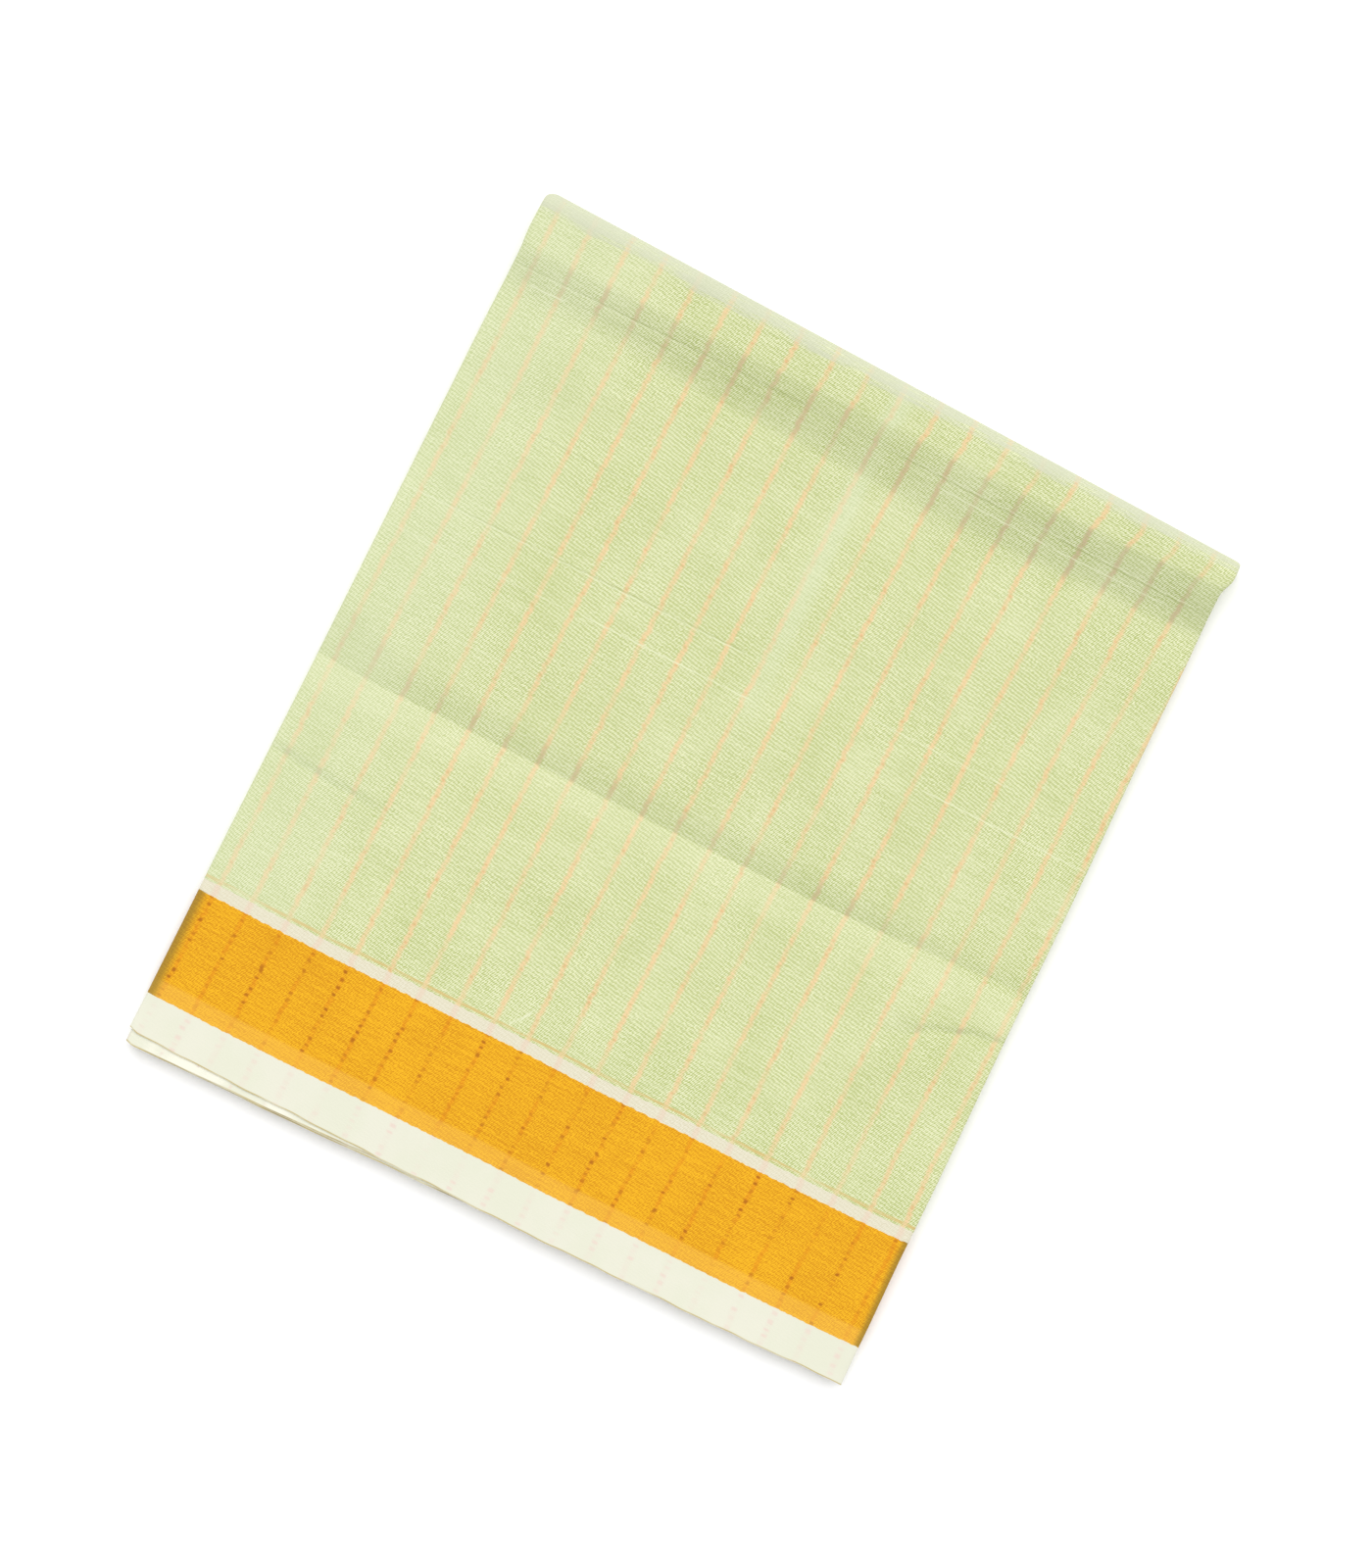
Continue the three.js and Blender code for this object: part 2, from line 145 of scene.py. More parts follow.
# Forms of the underside, which lifts off the floor where it is creased
UNDER_FORMS = [
    ("pressed crease across the middle", "sharp", -0.9, 26, 24,
     [(-300, 266, 0.9), (0, 268.5, 1), (120, 267, 0.8), (300, 269, 1)]),
    ("valley under the fold", "round", -1.1, 20, 46, [(-300, 540, 1), (40, 546, 0.8), (300, 536, 1)]),
    ("small crease at the right side", "sharp", -0.6, 12, 9,
     [(120, 402, 0), (190, 396, 1), (262, 385, 1)]),
    ("small crease at the left side", "sharp", -0.6, 9, 12,
     [(-262, 168, 1), (-190, 176, 0.9), (-120, 190, 0)]),
    ("soft trough", "round", -0.5, 30, 34,
     [(-300, 360, 0.4), (-60, 350, 1), (120, 362, 0.7), (300, 352, 0.5)]),
]

# Slow waves of the cloth: waves per metre across and up, lag, rise in millimetres
SLOW_WAVES = [
    (3.1, 7.4, 0.4, 0.11),
    (-5.2, 9.6, 2.1, 0.08),
    (8.3, 4.7, 4.4, 0.06),
    (-9.1, 14.8, 1.2, 0.045),
    (12.4, 19.3, 3.3, 0.035),
    (2.2, 26.4, 5.2, 0.03),
]


def mixed(a, b, share):
    return a + (b - a) * share


def eased(share):
    t = np.clip(share, 0, 1)
    return t * t * (3 - 2 * t)


def from_table(rows, column, at):
    places = np.array([row[0] for row in rows], float)
    values = np.array([row[column] for row in rows], float)
    i = np.clip(np.searchsorted(places, at), 1, len(rows) - 1)
    share = eased((at - places[i - 1]) / (places[i] - places[i - 1]))
    return mixed(values[i - 1], values[i], share)


def share_of(across):
    return (across + HALF_WIDTH) / PANEL_WIDTH


def fold_axis(share):
    return mixed(FOLD_TOP["left"], FOLD_TOP["right"], share) - FOLD_REACH


def form_rise(x, y, section, rise, above, below, line):
    """Rise of one form at places of the face, from the nearest part of its line."""
    nearest = np.full(x.shape, 1e9)
    found = np.zeros(x.shape)
    for (x0, y0, s0), (x1, y1, s1) in zip(line, line[1:]):
        dx, dy = x1 - x0, y1 - y0
        t = np.clip(((x - x0) * dx + (y - y0) * dy) / (dx * dx + dy * dy), 0, 1)
        ox, oy = x - x0 - t * dx, y - y0 - t * dy
        away = np.hypot(ox, oy)
        upper = (dx * oy - dy * ox) > 0
        reach = np.where(upper, above, below)
        fade = away / reach if section == "sharp" else (away / reach) ** 2
        profile = np.clip(1 - fade, 0, 1) ** 2
        value = rise * mixed(s0, s1, t) * profile
        found = np.where(away < nearest, value, found)
        nearest = np.minimum(away, nearest)
    return found


def face_relief(x, y, forms, calm):
    total = sum(form_rise(x, y, *form[1:]) for form in forms)
    for across, up, lag, rise in SLOW_WAVES:
        total = total + rise * np.sin(2 * np.pi * (across * x + up * y) / 1000 + lag)
    return total * calm


# How far the layers below span the small forms, across and up, and how far they lie under them
BRIDGED = {"across": (-9, 0, 9), "up": (-5, -2, 2, 5), "drop": 0.12}


def lowest_nearby(x, y, forms, calm):
    """The layers below bridge the small forms, so they never press through the outer cloth."""
    steps = [(dx, dy) for dx in BRIDGED["across"] for dy in BRIDGED["up"]]
    beside = [face_relief(x + dx, y + dy, forms, calm) for dx, dy in steps]
    return np.minimum.reduce(beside) - BRIDGED["drop"]


def pack_thickness(share, height):
    loss = np.clip(1 - ((height - SELVEDGE_THINNING["height"]) / SELVEDGE_THINNING["reach"]) ** 2, 0, 1)
    thickness = PACK_THICKNESS - SELVEDGE_THINNING["loss"] * loss ** 2
    rise = (height - FOLD_RISE["start"]) / (FOLD_RISE["end"] - FOLD_RISE["start"])
    thickness = thickness + mixed(FOLD_RISE["left"], FOLD_RISE["right"], share) * eased(rise)
    from_left = share * PANEL_WIDTH
    thickness = thickness - SIDE_SAG["left"] * (1 - eased(from_left / SIDE_SAG["reach"]))
    return thickness - SIDE_SAG["right"] * (1 - eased((PANEL_WIDTH - from_left) / SIDE_SAG["reach"]))


def lay_cloth(across, travel, layer, relief):
    """Places in the pack. across is the place along a panel, travel runs up the front, round the
    fold and down the back, layer is the height in its half, from 0 in the middle of the pack."""
    share = share_of(across)
    depth = layer / HALF_PACK
    axis = fold_axis(share)
    past = travel - axis
    turn = np.clip(past / FOLD_LENGTH, 0, 1)
    face = np.where(past > FOLD_LENGTH, axis - (past - FOLD_LENGTH), np.minimum(travel, axis))
    middle = pack_thickness(share, face) / 2
    angle = np.pi * (0.5 - turn)
    on_fold = (turn > 0) & (turn < 1)
    y = face + np.where(on_fold, FOLD_REACH * depth * np.cos(angle), 0)
    inset = turn * eased((axis - face) / BACK_INSET["run"])
    left = from_table(SIDE_LINES, 1, face) + inset * BACK_INSET["left"]
    right = from_table(SIDE_LINES, 2, face) - inset * BACK_INSET["right"]
    x = mixed(left, right, share)
    calm = eased((axis - face) / CALM_BY_FOLD)
    upper = relief(x, face, UPPER_FORMS, calm)
    under = np.minimum(relief(x, face, UNDER_FORMS, calm), 0)
    half = middle + np.where(angle > 0, upper, under)
    z = middle + half * depth * np.sin(angle)
    return x, y, z


# Small unevenness of the edges: rise, turn in radians over the width, lag
FRONT_WAVER = [(0.22, 61, 0.6), (0.16, 133, 2)]
BACK_WAVER = [(0.2, 84, 1.1)]


def waver(share, waves):
    return sum(rise * np.sin(share * turn + lag) for rise, turn, lag in waves)


def selvedge_edges(share):
    """Heights of both selvedge edges of the outer panel, drawn up where it goes round the left."""
    front = from_table(SELVEDGE_EDGES, 1, share)
    tuck = EDGE_TUCK["rise"] * (1 - eased(share * PANEL_WIDTH / EDGE_TUCK["reach"]))
    back = front - from_table(SELVEDGE_EDGES, 2, share) + waver(share, BACK_WAVER)
    return front + tuck + waver(share, FRONT_WAVER), back + tuck


def line_wander(share, height):
    fading = eased((height - WANDER_FADE["start"]) / WANDER_FADE["reach"])
    return from_table(BAND_WANDER, 1, share) * (1 - fading)


def over_fold(travel, axis):
    """Travel of the place right below or above on the other half of the pack."""
    return 2 * axis + FOLD_LENGTH - travel


def travel_of(side, place, share, front_edge, back_edge):
    """Travel of one row of the cloth. place is a height, or a part of the way."""
    axis = fold_axis(share)
    if side == "front edge":
        return mixed(front_edge, SELVEDGE_TOP + line_wander(share, 0), place)
    if side == "front":
        return place + line_wander(share, place)
    if side == "to fold":
        return mixed(FLAT_TOP, axis, place)
    if side == "fold":
        return axis + FOLD_LENGTH * place
    if side == "from fold":
        return over_fold(mixed(FLAT_TOP, axis, place), axis)
    if side == "back":
        return over_fold(place, axis)
    return over_fold(mixed(back_edge, SELVEDGE_TOP, place), axis)


def layer_middle(number):
    low = MID_GAP + CLOTH / 2
    high = HALF_PACK - CLOTH / 2
    return mixed(low, high, (number - 1) / (LAYERS - 1))


# Side folds by the layers that they join: side, middle of the fold, reach, and how far its front
# and back edges are set back inside those of the outer panel
SIDE_FOLDS = {
    (12, 1): ("left", -246, 7.79, (0, 0)),
    (11, 2): ("left", -246, 5.9, (0.1, 1.3)),
    (10, 3): ("left", -246.2, 5, (0.5, 0.5)),
    (9, 4): ("left", -246, 4.6, (1.1, 1.9)),
    (8, 7): ("left", -246.6, 1.6, (2.2, 1.1)),
    (12, 9): ("right", 250.5, 3.29, (0, 0)),
    (11, 10): ("right", 250.2, 2.4, (0.8, 1.2)),
    (8, 1): ("right", 249.2, 2.6, (1.6, 0.9)),
    (7, 2): ("right", 248.8, 2.2, (0.7, 1.7)),
    (6, 3): ("right", 249.3, 1.1, (2, 0.6)),
    (5, 4): ("right", 248.6, 0.9, (1.3, 1.4)),
}
# Where the outer panel ends inside the pack, past its side folds
LEFT_RETURN = -216
RIGHT_RETURN = 220.5


def fold_between(start, end, steps):
    """Half round of a side fold, from the middle of one layer to the middle of another."""
    side, centre, reach = SIDE_FOLDS[(max(start, end), min(start, end))][:3]
    low, high = layer_middle(start), layer_middle(end)
    middle, rise = (low + high) / 2, (high - low) / 2
    out = 1 if side == "right" else -1
    turns = np.linspace(-np.pi / 2, np.pi / 2, steps + 1)
    return [(centre + out * reach * math.cos(a), middle + rise * math.sin(a)) for a in turns]


def panel_between(layer, start, end, steps):
    return [(across, layer_middle(layer)) for across in np.linspace(start, end, steps + 1)]


# Steps of a hidden panel, and of the fold after it
PANEL_STEPS = 22
FOLD_STEPS = 8


def strand_line(begin, layers, finish):
    """Centreline of one length through its layers, with the side folds between them."""
    folds = [fold_between(a, b, FOLD_STEPS) for a, b in zip(layers, layers[1:])]
    starts = [begin] + [fold[-1][0] for fold in folds]
    ends = [fold[0][0] for fold in folds] + [finish]
    line = []
    for i, layer in enumerate(layers):
        panel = panel_between(layer, starts[i], ends[i], PANEL_STEPS)
        line += panel if i == 0 else panel[1:]
        if i < len(folds):
            line += folds[i][1:]
    return np.array(line)


def section_round(line):
    """Closed section of the cloth round its centreline."""
    along = np.gradient(line, axis=0)
    out = np.stack([-along[:, 1], along[:, 0]], 1)
    out /= np.linalg.norm(out, axis=1)[:, None]
    return np.vstack([line + out * CLOTH / 2, (line - out * CLOTH / 2)[::-1]])


def length_along(line):
    return np.concatenate([[0], np.cumsum(np.linalg.norm(np.diff(line, axis=0), axis=1))])


# The pack's own place in the frame, read from two of its solids, whose far side and lower edge
# lie here in the pack's own measures
SELVEDGE_SIDE = 255.006
FIELD_LOW = 109.65
shift_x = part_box("selvedge_band_front")[1].x * 1000 - SELVEDGE_SIDE
shift_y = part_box("field_front")[0].y * 1000 - FIELD_LOW


def placed(name, data):
    made = bpy.data.objects.new(name, data)
    bpy.context.scene.collection.objects.link(made)
    return made


# Maps of every cloth: stripes across and metres of travel, metres along the panel and from the
# selvedge, and how much painted shade and painted highlight it has
CLOTH_MAPS = ("weave", "lay", "press")


def cloth_mesh(name, places, maps):
    """Closed thin shell from rows of section points, with the cloth's own places mapped on it."""
    rows, count = places.shape[:2]
    half = count // 2
    ring = np.arange(count)
    after = (ring + 1) % count
    base = (np.arange(rows - 1) * count)[:, None]
    sides = np.stack([base + ring, base + after, base + count + after, base + count + ring], -1)
    i = np.arange(half - 1)
    low = np.stack([i + 1, i, count - 1 - i, count - 2 - i], -1)
    high = low[:, ::-1] + (rows - 1) * count
    faces = np.vstack([sides.reshape(-1, 4), low, high])
    mesh = bpy.data.meshes.new(name)
    mesh.from_pydata(places.reshape(-1, 3).tolist(), [], faces.tolist())
    rim = np.isin(ring, (half - 1, count - 1))
    smooth = np.concatenate([np.tile(~rim, rows - 1), np.zeros(2 * (half - 1), bool)])
    mesh.polygons.foreach_set("use_smooth", smooth)
    corners = faces.ravel()
    for title, values in zip(CLOTH_MAPS, maps):
        layer = mesh.uv_layers.new(name=title)
        layer.data.foreach_set("uv", values.reshape(-1, 2)[corners].astype(np.float32).ravel())
    mesh.update()
    mesh.validate()
    return placed(name, mesh)


def volume_sign(places):
    """1 where the rows and sections run so that faces look outwards, else -1."""
    a, b, c = places[0, 0], places[0, 1], places[1, 0]
    middle = (places[0, 0] + places[0, -1]) / 2
    return 1 if np.dot(np.cross(b - a, c - a), a - middle) > 0 else -1


def with_end_rows(rows, inside=0.03):
    """A row close inside each end, so the shading of the cut edge stays off the face."""
    first = mixed(rows[:1], rows[1:2], inside)
    last = mixed(rows[-1:], rows[-2:-1], inside)
    return np.concatenate([rows[:1], first, rows[1:-1], last, rows[-1:]])


def run_cloth(name, section, stations, edges, relief, cloth_place):
    """Sweeps a section along its stations and makes the mesh in metres, in the frame."""
    across, layer = section[:, 0], section[:, 1]
    travel = np.array([travel_of(side, place, share_of(across), *edges) for side, place in stations])
    wide = np.broadcast_to(across, travel.shape)
    high = np.broadcast_to(layer, travel.shape)
    x, y, z = lay_cloth(wide, travel, high, relief)
    places = np.stack([x + shift_x, y + shift_y, z], -1) / 1000
    sets = [with_end_rows(rows) for rows in (places, *cloth_place(wide, travel))]
    if volume_sign(places) < 0:
        sets = [rows[::-1] for rows in sets]
    return cloth_mesh(name, sets[0], sets[1:])


def both_faces(values):
    return np.concatenate([values, values[::-1]])


def from_selvedge(travel, share, edges):
    """Distance to the nearer selvedge, in the cloth's own measure."""
    front_edge, back_edge = edges
    other = over_fold(travel, fold_axis(share))
    near = np.minimum(travel, other)
    edge = np.where(travel < other, front_edge, back_edge)
    wander = np.where(travel < other, line_wander(share, near), 0)
    band = (near - edge) / (SELVEDGE_TOP + wander - edge) * SELVEDGE_TOP
    return np.where(near < SELVEDGE_TOP + wander, band, near - wander)


# Bow of each hidden edge between its folds: front, back
PANEL_BOWS = {
    1: (1, 3), 2: (0.5, 0.6), 3: (1.2, -0.3), 4: (0.2, 1), 5: (0.8, 0.4), 6: (-0.2, 1.4),
    7: (0.9, -0.5), 8: (0.3, 0.7), 9: (1, 0.2), 10: (0.1, 1.1), 11: (2.2, 0),
}
# How far the hidden edges lie inside the front edge of the outer panel
HIDDEN_INSET = 0.6


def hidden_edges(line, layers, finish):
    """Selvedge edges along a hidden length: setbacks held at the folds and bowed between them. At
    the left the outer panel is drawn up, and the edges below it show."""
    folds = list(zip(layers, layers[1:]))
    held = [(0, 0)] + [SIDE_FOLDS[(max(fold), min(fold))][3] for fold in folds] + [finish]
    setbacks = ([], [])
    for i, layer in enumerate(layers):
        t = np.linspace(0, 1, PANEL_STEPS + 1)[min(i, 1):]
        for side, rows in enumerate(setbacks):
            bow = 4 * PANEL_BOWS[layer][side] * t * (1 - t)
            rows.append(mixed(held[i][side], held[i + 1][side], t) + bow)
            if i < len(folds):
                rows.append(np.full(FOLD_STEPS, held[i + 1][side]))
    outer_front, outer_back = selvedge_edges(share_of(line[:, 0]))
    front = np.minimum(outer_front + HIDDEN_INSET, outer_back) + np.concatenate(setbacks[0])
    back = outer_back + np.concatenate(setbacks[1])
    return both_faces(front), both_faces(back)


# Stations of the hidden cloth along its travel: parts of the way, or heights
HIDDEN_STATIONS = (
    [("front edge", part) for part in (0, 0.08, 0.25, 0.5, 0.75, 1)]
    + [("front", h) for h in (
        42, 56, 72, 88, BORDER_TOP, FIELD_START, 130, 155, 180, 205, 230, 250, 260, 266, 270, 274, 279,
        288, 305, 330, 360, 395, 430, 470, 500, 520, 535, 545, 555)]
    + [("to fold", part) for part in (0, 0.4, 0.75, 1)]
    + [("fold", part) for part in np.linspace(0, 1, 15)[1:-1]]
    + [("from fold", part) for part in (1, 0.75, 0.4, 0)]
    + [("back", h) for h in (
        555, 545, 530, 510, 480, 440, 400, 360, 320, 290, 275, 268, 260, 240, 210, 180, 150, 125,
        FIELD_START, BORDER_TOP, 80, 60, 42)]
    + [("back edge", part) for part in (1, 0.75, 0.5, 0.25, 0.08, 0)]
)
# Usual distance of the weft stripes
STRIPE_PITCH = 24.4


def hidden_length(name, begin, layers, finish, setback):
    """One length inside the pack. setback is that of its edges at its finish: front, back."""
    line = strand_line(begin, layers, finish)
    edges = hidden_edges(line, layers, setback)
    run = both_faces(length_along(line))

    def cloth_place(across, travel):
        wide = np.broadcast_to(run, travel.shape)
        near = from_selvedge(travel, share_of(across), edges)
        weave = np.stack([wide / STRIPE_PITCH, travel / 1000], -1)
        return weave, np.stack([wide / 1000, near / 1000], -1), np.zeros(weave.shape)

    return run_cloth(name, section_round(line), HIDDEN_STATIONS, edges, lowest_nearby, cloth_place)


def dye(code, share=0.82):
    """Colour of the dyed cotton, from its code and the share of the light that the cloth gives back."""
    parts = [int(code[i:i + 2], 16) / 255 for i in (0, 2, 4)]
    return [share * (c / 12.92 if c <= 0.04045 else ((c + 0.055) / 1.055) ** 2.4) for c in parts] + [1]


FIELD_PALE = dye("eff2ca")
FIELD_DEEP = dye("b2be71")
FIELD_YARN_AND_HIGHLIGHT = dye("edf0cd")
# Painted shade of the green in the valley and along the creases
FIELD_PAINTED_SHADE = dye("e6e9e7", 1)
WEFT_PEACH = dye("f2d2a2")
# Peach stripes in the painted shade
PEACH_IN_PAINTED_SHADE = dye("c7b590")
KNOT_PEACH = dye("dc9f66")
ECRU = dye("eee9d3")
ECRU_FLECK = dye("d8d0b0")
ECRU_PINK = dye("eecbb6")
BORDER_GOLD = dye("fabc1c")
BORDER_DEEP = dye("da930c")
BORDER_BEAD = dye("b0640e")
BORDER_LINE = dye("e9870f")
CREAM = dye("ecebd9")
CREAM_SHADE = dye("e8e9d4")
CREAM_PINK = dye("eddacd")
# Cream of the inner layers, painted lighter to lift the shade where their edges show under the outer panel
CREAM_INSIDE_PAINTED_LIGHT = dye("fbf9e8")
EDGE_OLIVE = dye("c6b273")
EDGE_BROWN = dye("a89660")


def add_node(tree, kind, settings=None, **inputs):
    """Adds a node and gives back its outputs. An input goes by its title, or by i and its number."""
    node = tree.nodes.new(kind)
    for key, value in (settings or {}).items():
        setattr(node, key, value)
    for key, value in inputs.items():
        socket = node.inputs[int(key[1:])] if key[1:].isdigit() else node.inputs[key.replace("_", " ")]
        if isinstance(value, bpy.types.NodeSocket):
            tree.links.new(value, socket)
        else:
            socket.default_value = value
    return node.outputs


def reckon(tree, operation, a, b=0, c=0):
    return add_node(tree, "ShaderNodeMath", {"operation": operation}, i0=a, i1=b, i2=c)[0]


def times(tree, value, *others):
    for other in others:
        value = reckon(tree, "MULTIPLY", value, other)
    return value


def swung(tree, value, swing, base=0):
    """base plus swing times how far a value of 0 to 1 is from its middle."""
    return reckon(tree, "MULTIPLY_ADD", reckon(tree, "SUBTRACT", value, 0.5), swing, base)


def ramp(tree, value, start, end, low=0, high=1):
    """low at start and high at end with a soft change between. start may be the larger of the two."""
    settings = {"interpolation_type": "SMOOTHSTEP"}
    return add_node(tree, "ShaderNodeMapRange", settings, i0=value, i1=start, i2=end, i3=low, i4=high)[0]


def stain(tree, share, under, over, mode="MIX"):
    settings = {"data_type": "RGBA", "blend_type": mode, "clamp_factor": True}
    return add_node(tree, "ShaderNodeMix", settings, i0=share, i6=under, i7=over)[2]


def place_of(tree, across, up):
    return add_node(tree, "ShaderNodeCombineXYZ", i0=across, i1=up)[0]


def parts_of(tree, place):
    parts = add_node(tree, "ShaderNodeSeparateXYZ", i0=place)
    return parts[0], parts[1]


def noise(tree, place, scale, detail, roughness=0.5):
    return add_node(
        tree, "ShaderNodeTexNoise", {"noise_dimensions": "2D"}, Vector=place, Scale=scale,
        Detail=detail, Roughness=roughness)[0]


def drawn_noise(tree, across, up, across_scale, up_scale, detail, roughness=0.5):
    """Noise with a scale of its own each way, so it is drawn out along the threads."""
    place = place_of(tree, times(tree, across, across_scale), times(tree, up, up_scale))
    return noise(tree, place, 1, detail, roughness)


def shader_group(name, takes, gives):
    """Group of nodes. Its input Cloth is a place on the cloth, all else that it takes are values."""
    tree = bpy.data.node_groups.new(name, "ShaderNodeTree")
    for title in takes:
        kind = "NodeSocketVector" if title == "Cloth" else "NodeSocketFloat"
        tree.interface.new_socket(title, in_out="INPUT", socket_type=kind)
    for title in gives:
        tree.interface.new_socket(title, in_out="OUTPUT", socket_type="NodeSocketFloat")
    return tree, tree.nodes.new("NodeGroupInput").outputs, tree.nodes.new("NodeGroupOutput").inputs


def place_group(tree, group, **inputs):
    return add_node(tree, "ShaderNodeGroup", {"node_tree": group}, **inputs)


# Plain weave seen close: sets of slanting ribs where the threads cross, uneven yarn, and slow
# mottling. Ribs per metre across and up, how far they wander in ribs, how far they stand out
RIB_SETS = [
    (89, 437, 2, 0.4),
    (398, -64, 3, 0.18),
    (726, -397, 5, 0.6),
]
tree, given, made = shader_group(
    "plain_weave", ["Cloth", "Unevenness"], ["Height", "Threads", "Streak", "Slub", "Mottle"])
weave_group = tree
stripes_across, up = parts_of(tree, given["Cloth"])
across = times(tree, stripes_across, STRIPE_PITCH / 1000)
flat_place = place_of(tree, across, up)
stray = swung(tree, noise(tree, flat_place, 300, 2), given["Unevenness"])
bend = noise(tree, flat_place, 11, 1)
ribs = 0.0
for across_count, up_count, wander, rise in RIB_SETS:
    turns = reckon(tree, "MULTIPLY_ADD", across, across_count, stray)
    turns = reckon(tree, "MULTIPLY_ADD", up, up_count, turns)
    turns = swung(tree, bend, wander, turns)
    wave = reckon(tree, "SINE", times(tree, turns, 2 * math.pi))
    ribs = reckon(tree, "MULTIPLY_ADD", wave, rise, ribs)
relief = swung(tree, drawn_noise(tree, across, up, 620, 900, 1, 0.6), 0.9, ribs)
crisp = ramp(tree, noise(tree, flat_place, 23, 2), 0.35, 0.62, 1, 1.6)
slubs = drawn_noise(tree, across, up, 3.6, 900, 0.5)
mottle = drawn_noise(tree, across, up, 22, 17, 4, 0.6)
bars = drawn_noise(tree, reckon(tree, "FLOOR", stripes_across), up, 5.17, 7, 1)
tree.links.new(relief, made["Height"])
tree.links.new(swung(tree, ramp(tree, relief, -1.5, 1.5), crisp, 0.5), made["Threads"])
tree.links.new(drawn_noise(tree, across, up, 30, 620, 3, 0.6), made["Streak"])
tree.links.new(ramp(tree, slubs, 0.74, 0.84), made["Slub"])
tree.links.new(swung(tree, bars, 0.3, mottle), made["Mottle"])

# Weft stripes: a few coloured picks at each whole number across, soft-edged and uneven in depth,
# with small knots, and beads of doubled yarn a few millimetres apart. away is the distance from the
# middle of the stripe, in half widths
BEAD_PITCH = 0.0052
tree, given, made = shader_group(
    "weft_stripes", ["Cloth", "Half Width"], ["Stripe", "Strength", "Knot", "Bead"])
stripe_group = tree
stripes_across, up = parts_of(tree, given["Cloth"])
number = reckon(tree, "ROUND", stripes_across)
own = place_of(tree, times(tree, number, 7.31), up)
off = times(tree, reckon(tree, "SUBTRACT", stripes_across, number), STRIPE_PITCH / 1000)
off = swung(tree, noise(tree, own, 240, 2), 0.0026, off)
away = reckon(tree, "DIVIDE", reckon(tree, "ABSOLUTE", off), given["Half Width"])
depth = noise(tree, own, 42, 4, 0.65)
knots = ramp(tree, noise(tree, own, 360, 1), 0.58, 0.7)
count = times(tree, up, 1 / BEAD_PITCH)
count = reckon(tree, "ADD", count, swung(tree, noise(tree, own, 60, 1), 1.6))
turn = place_of(tree, number, reckon(tree, "FLOOR", count))
chance = add_node(tree, "ShaderNodeTexWhiteNoise", {"noise_dimensions": "2D"}, Vector=turn)[0]
patch = ramp(tree, noise(tree, own, 26, 1), 0.34, 0.6, 0.35, 1)
middle = reckon(tree, "ABSOLUTE", swung(tree, reckon(tree, "FRACT", count), 1))
bead = times(tree, ramp(tree, chance, 0, 0.8, 0.1, 1), patch, ramp(tree, middle, 0.29, 0.1))
tree.links.new(ramp(tree, away, 1.5, 0.2), made["Stripe"])
tree.links.new(ramp(tree, depth, 0.3, 0.66, 0.45, 1.05), made["Strength"])
tree.links.new(times(tree, knots, ramp(tree, away, 0.9, 0.2)), made["Knot"])
tree.links.new(times(tree, bead, ramp(tree, away, 1.15, 0.4)), made["Bead"])


def cotton(name, roughness, sheen, sheen_tint, unevenness, stripe_half):
    """Matt cotton with its shader, its threads and weft stripes of half width stripe_half, and the
    cloth places that its colour is worked out from."""
    material = bpy.data.materials.new(name)
    material.use_nodes = True
    tree = material.node_tree
    tree.nodes.clear()
    shader = tree.nodes.new("ShaderNodeBsdfPrincipled")
    shader.inputs["Roughness"].default_value = roughness
    shader.inputs["Sheen Weight"].default_value = sheen
    shader.inputs["Sheen Roughness"].default_value = 0.55
    shader.inputs["Sheen Tint"].default_value = sheen_tint
    shader.inputs["Specular IOR Level"].default_value = 0.25
    output = tree.nodes.new("ShaderNodeOutputMaterial")
    tree.links.new(shader.outputs[0], output.inputs[0])
    weave, lay, press = (add_node(tree, "ShaderNodeUVMap", {"uv_map": title})[0] for title in CLOTH_MAPS)
    threads = place_group(tree, weave_group, Cloth=weave, Unevenness=unevenness)
    stripes = place_group(tree, stripe_group, Cloth=weave, Half_Width=stripe_half)
    return material, tree, shader, threads, stripes, weave, parts_of(tree, lay), parts_of(tree, press)


BUMP_DEPTH = 0.0003


def finish_cotton(tree, shader, colour, height, strength):
    tree.links.new(colour, shader.inputs["Base Color"])
    bump = add_node(tree, "ShaderNodeBump", Strength=strength, Distance=BUMP_DEPTH, Height=height)
    tree.links.new(bump[0], shader.inputs["Normal"])


def cloth_tone(tree, threads, mottle, streak, thread, base):
    tone = swung(tree, threads["Mottle"], mottle, base)
    tone = swung(tree, threads["Streak"], streak, tone)
    return swung(tree, threads["Threads"], thread, tone)


def field_colours(tree, threads, stripes, pressed=0):
    """Green field: pale and deep threads, peach stripes in the weft, and painted shade in the valley
    and along the creases.
    """
    tone = cloth_tone(tree, threads, mottle=0.42, streak=0.5, thread=-1.15, base=0.49)
    green = stain(tree, tone, FIELD_PALE, FIELD_DEEP)
    green = stain(tree, times(tree, threads["Slub"], 0.22), green, FIELD_YARN_AND_HIGHLIGHT)
    # Painted shade in the valley and along the creases darkens the green and browns the stripes
    green = stain(tree, pressed, green, FIELD_PAINTED_SHADE, "MULTIPLY")
    peach = stain(tree, times(tree, stripes["Knot"], 0.5), WEFT_PEACH, KNOT_PEACH)
    peach = stain(tree, ramp(tree, pressed, 0.05, 0.55), peach, PEACH_IN_PAINTED_SHADE)
    share = times(tree, stripes["Stripe"], stripes["Strength"], swung(tree, threads["Threads"], 0.7, 0.84))
    return stain(tree, share, green, peach)


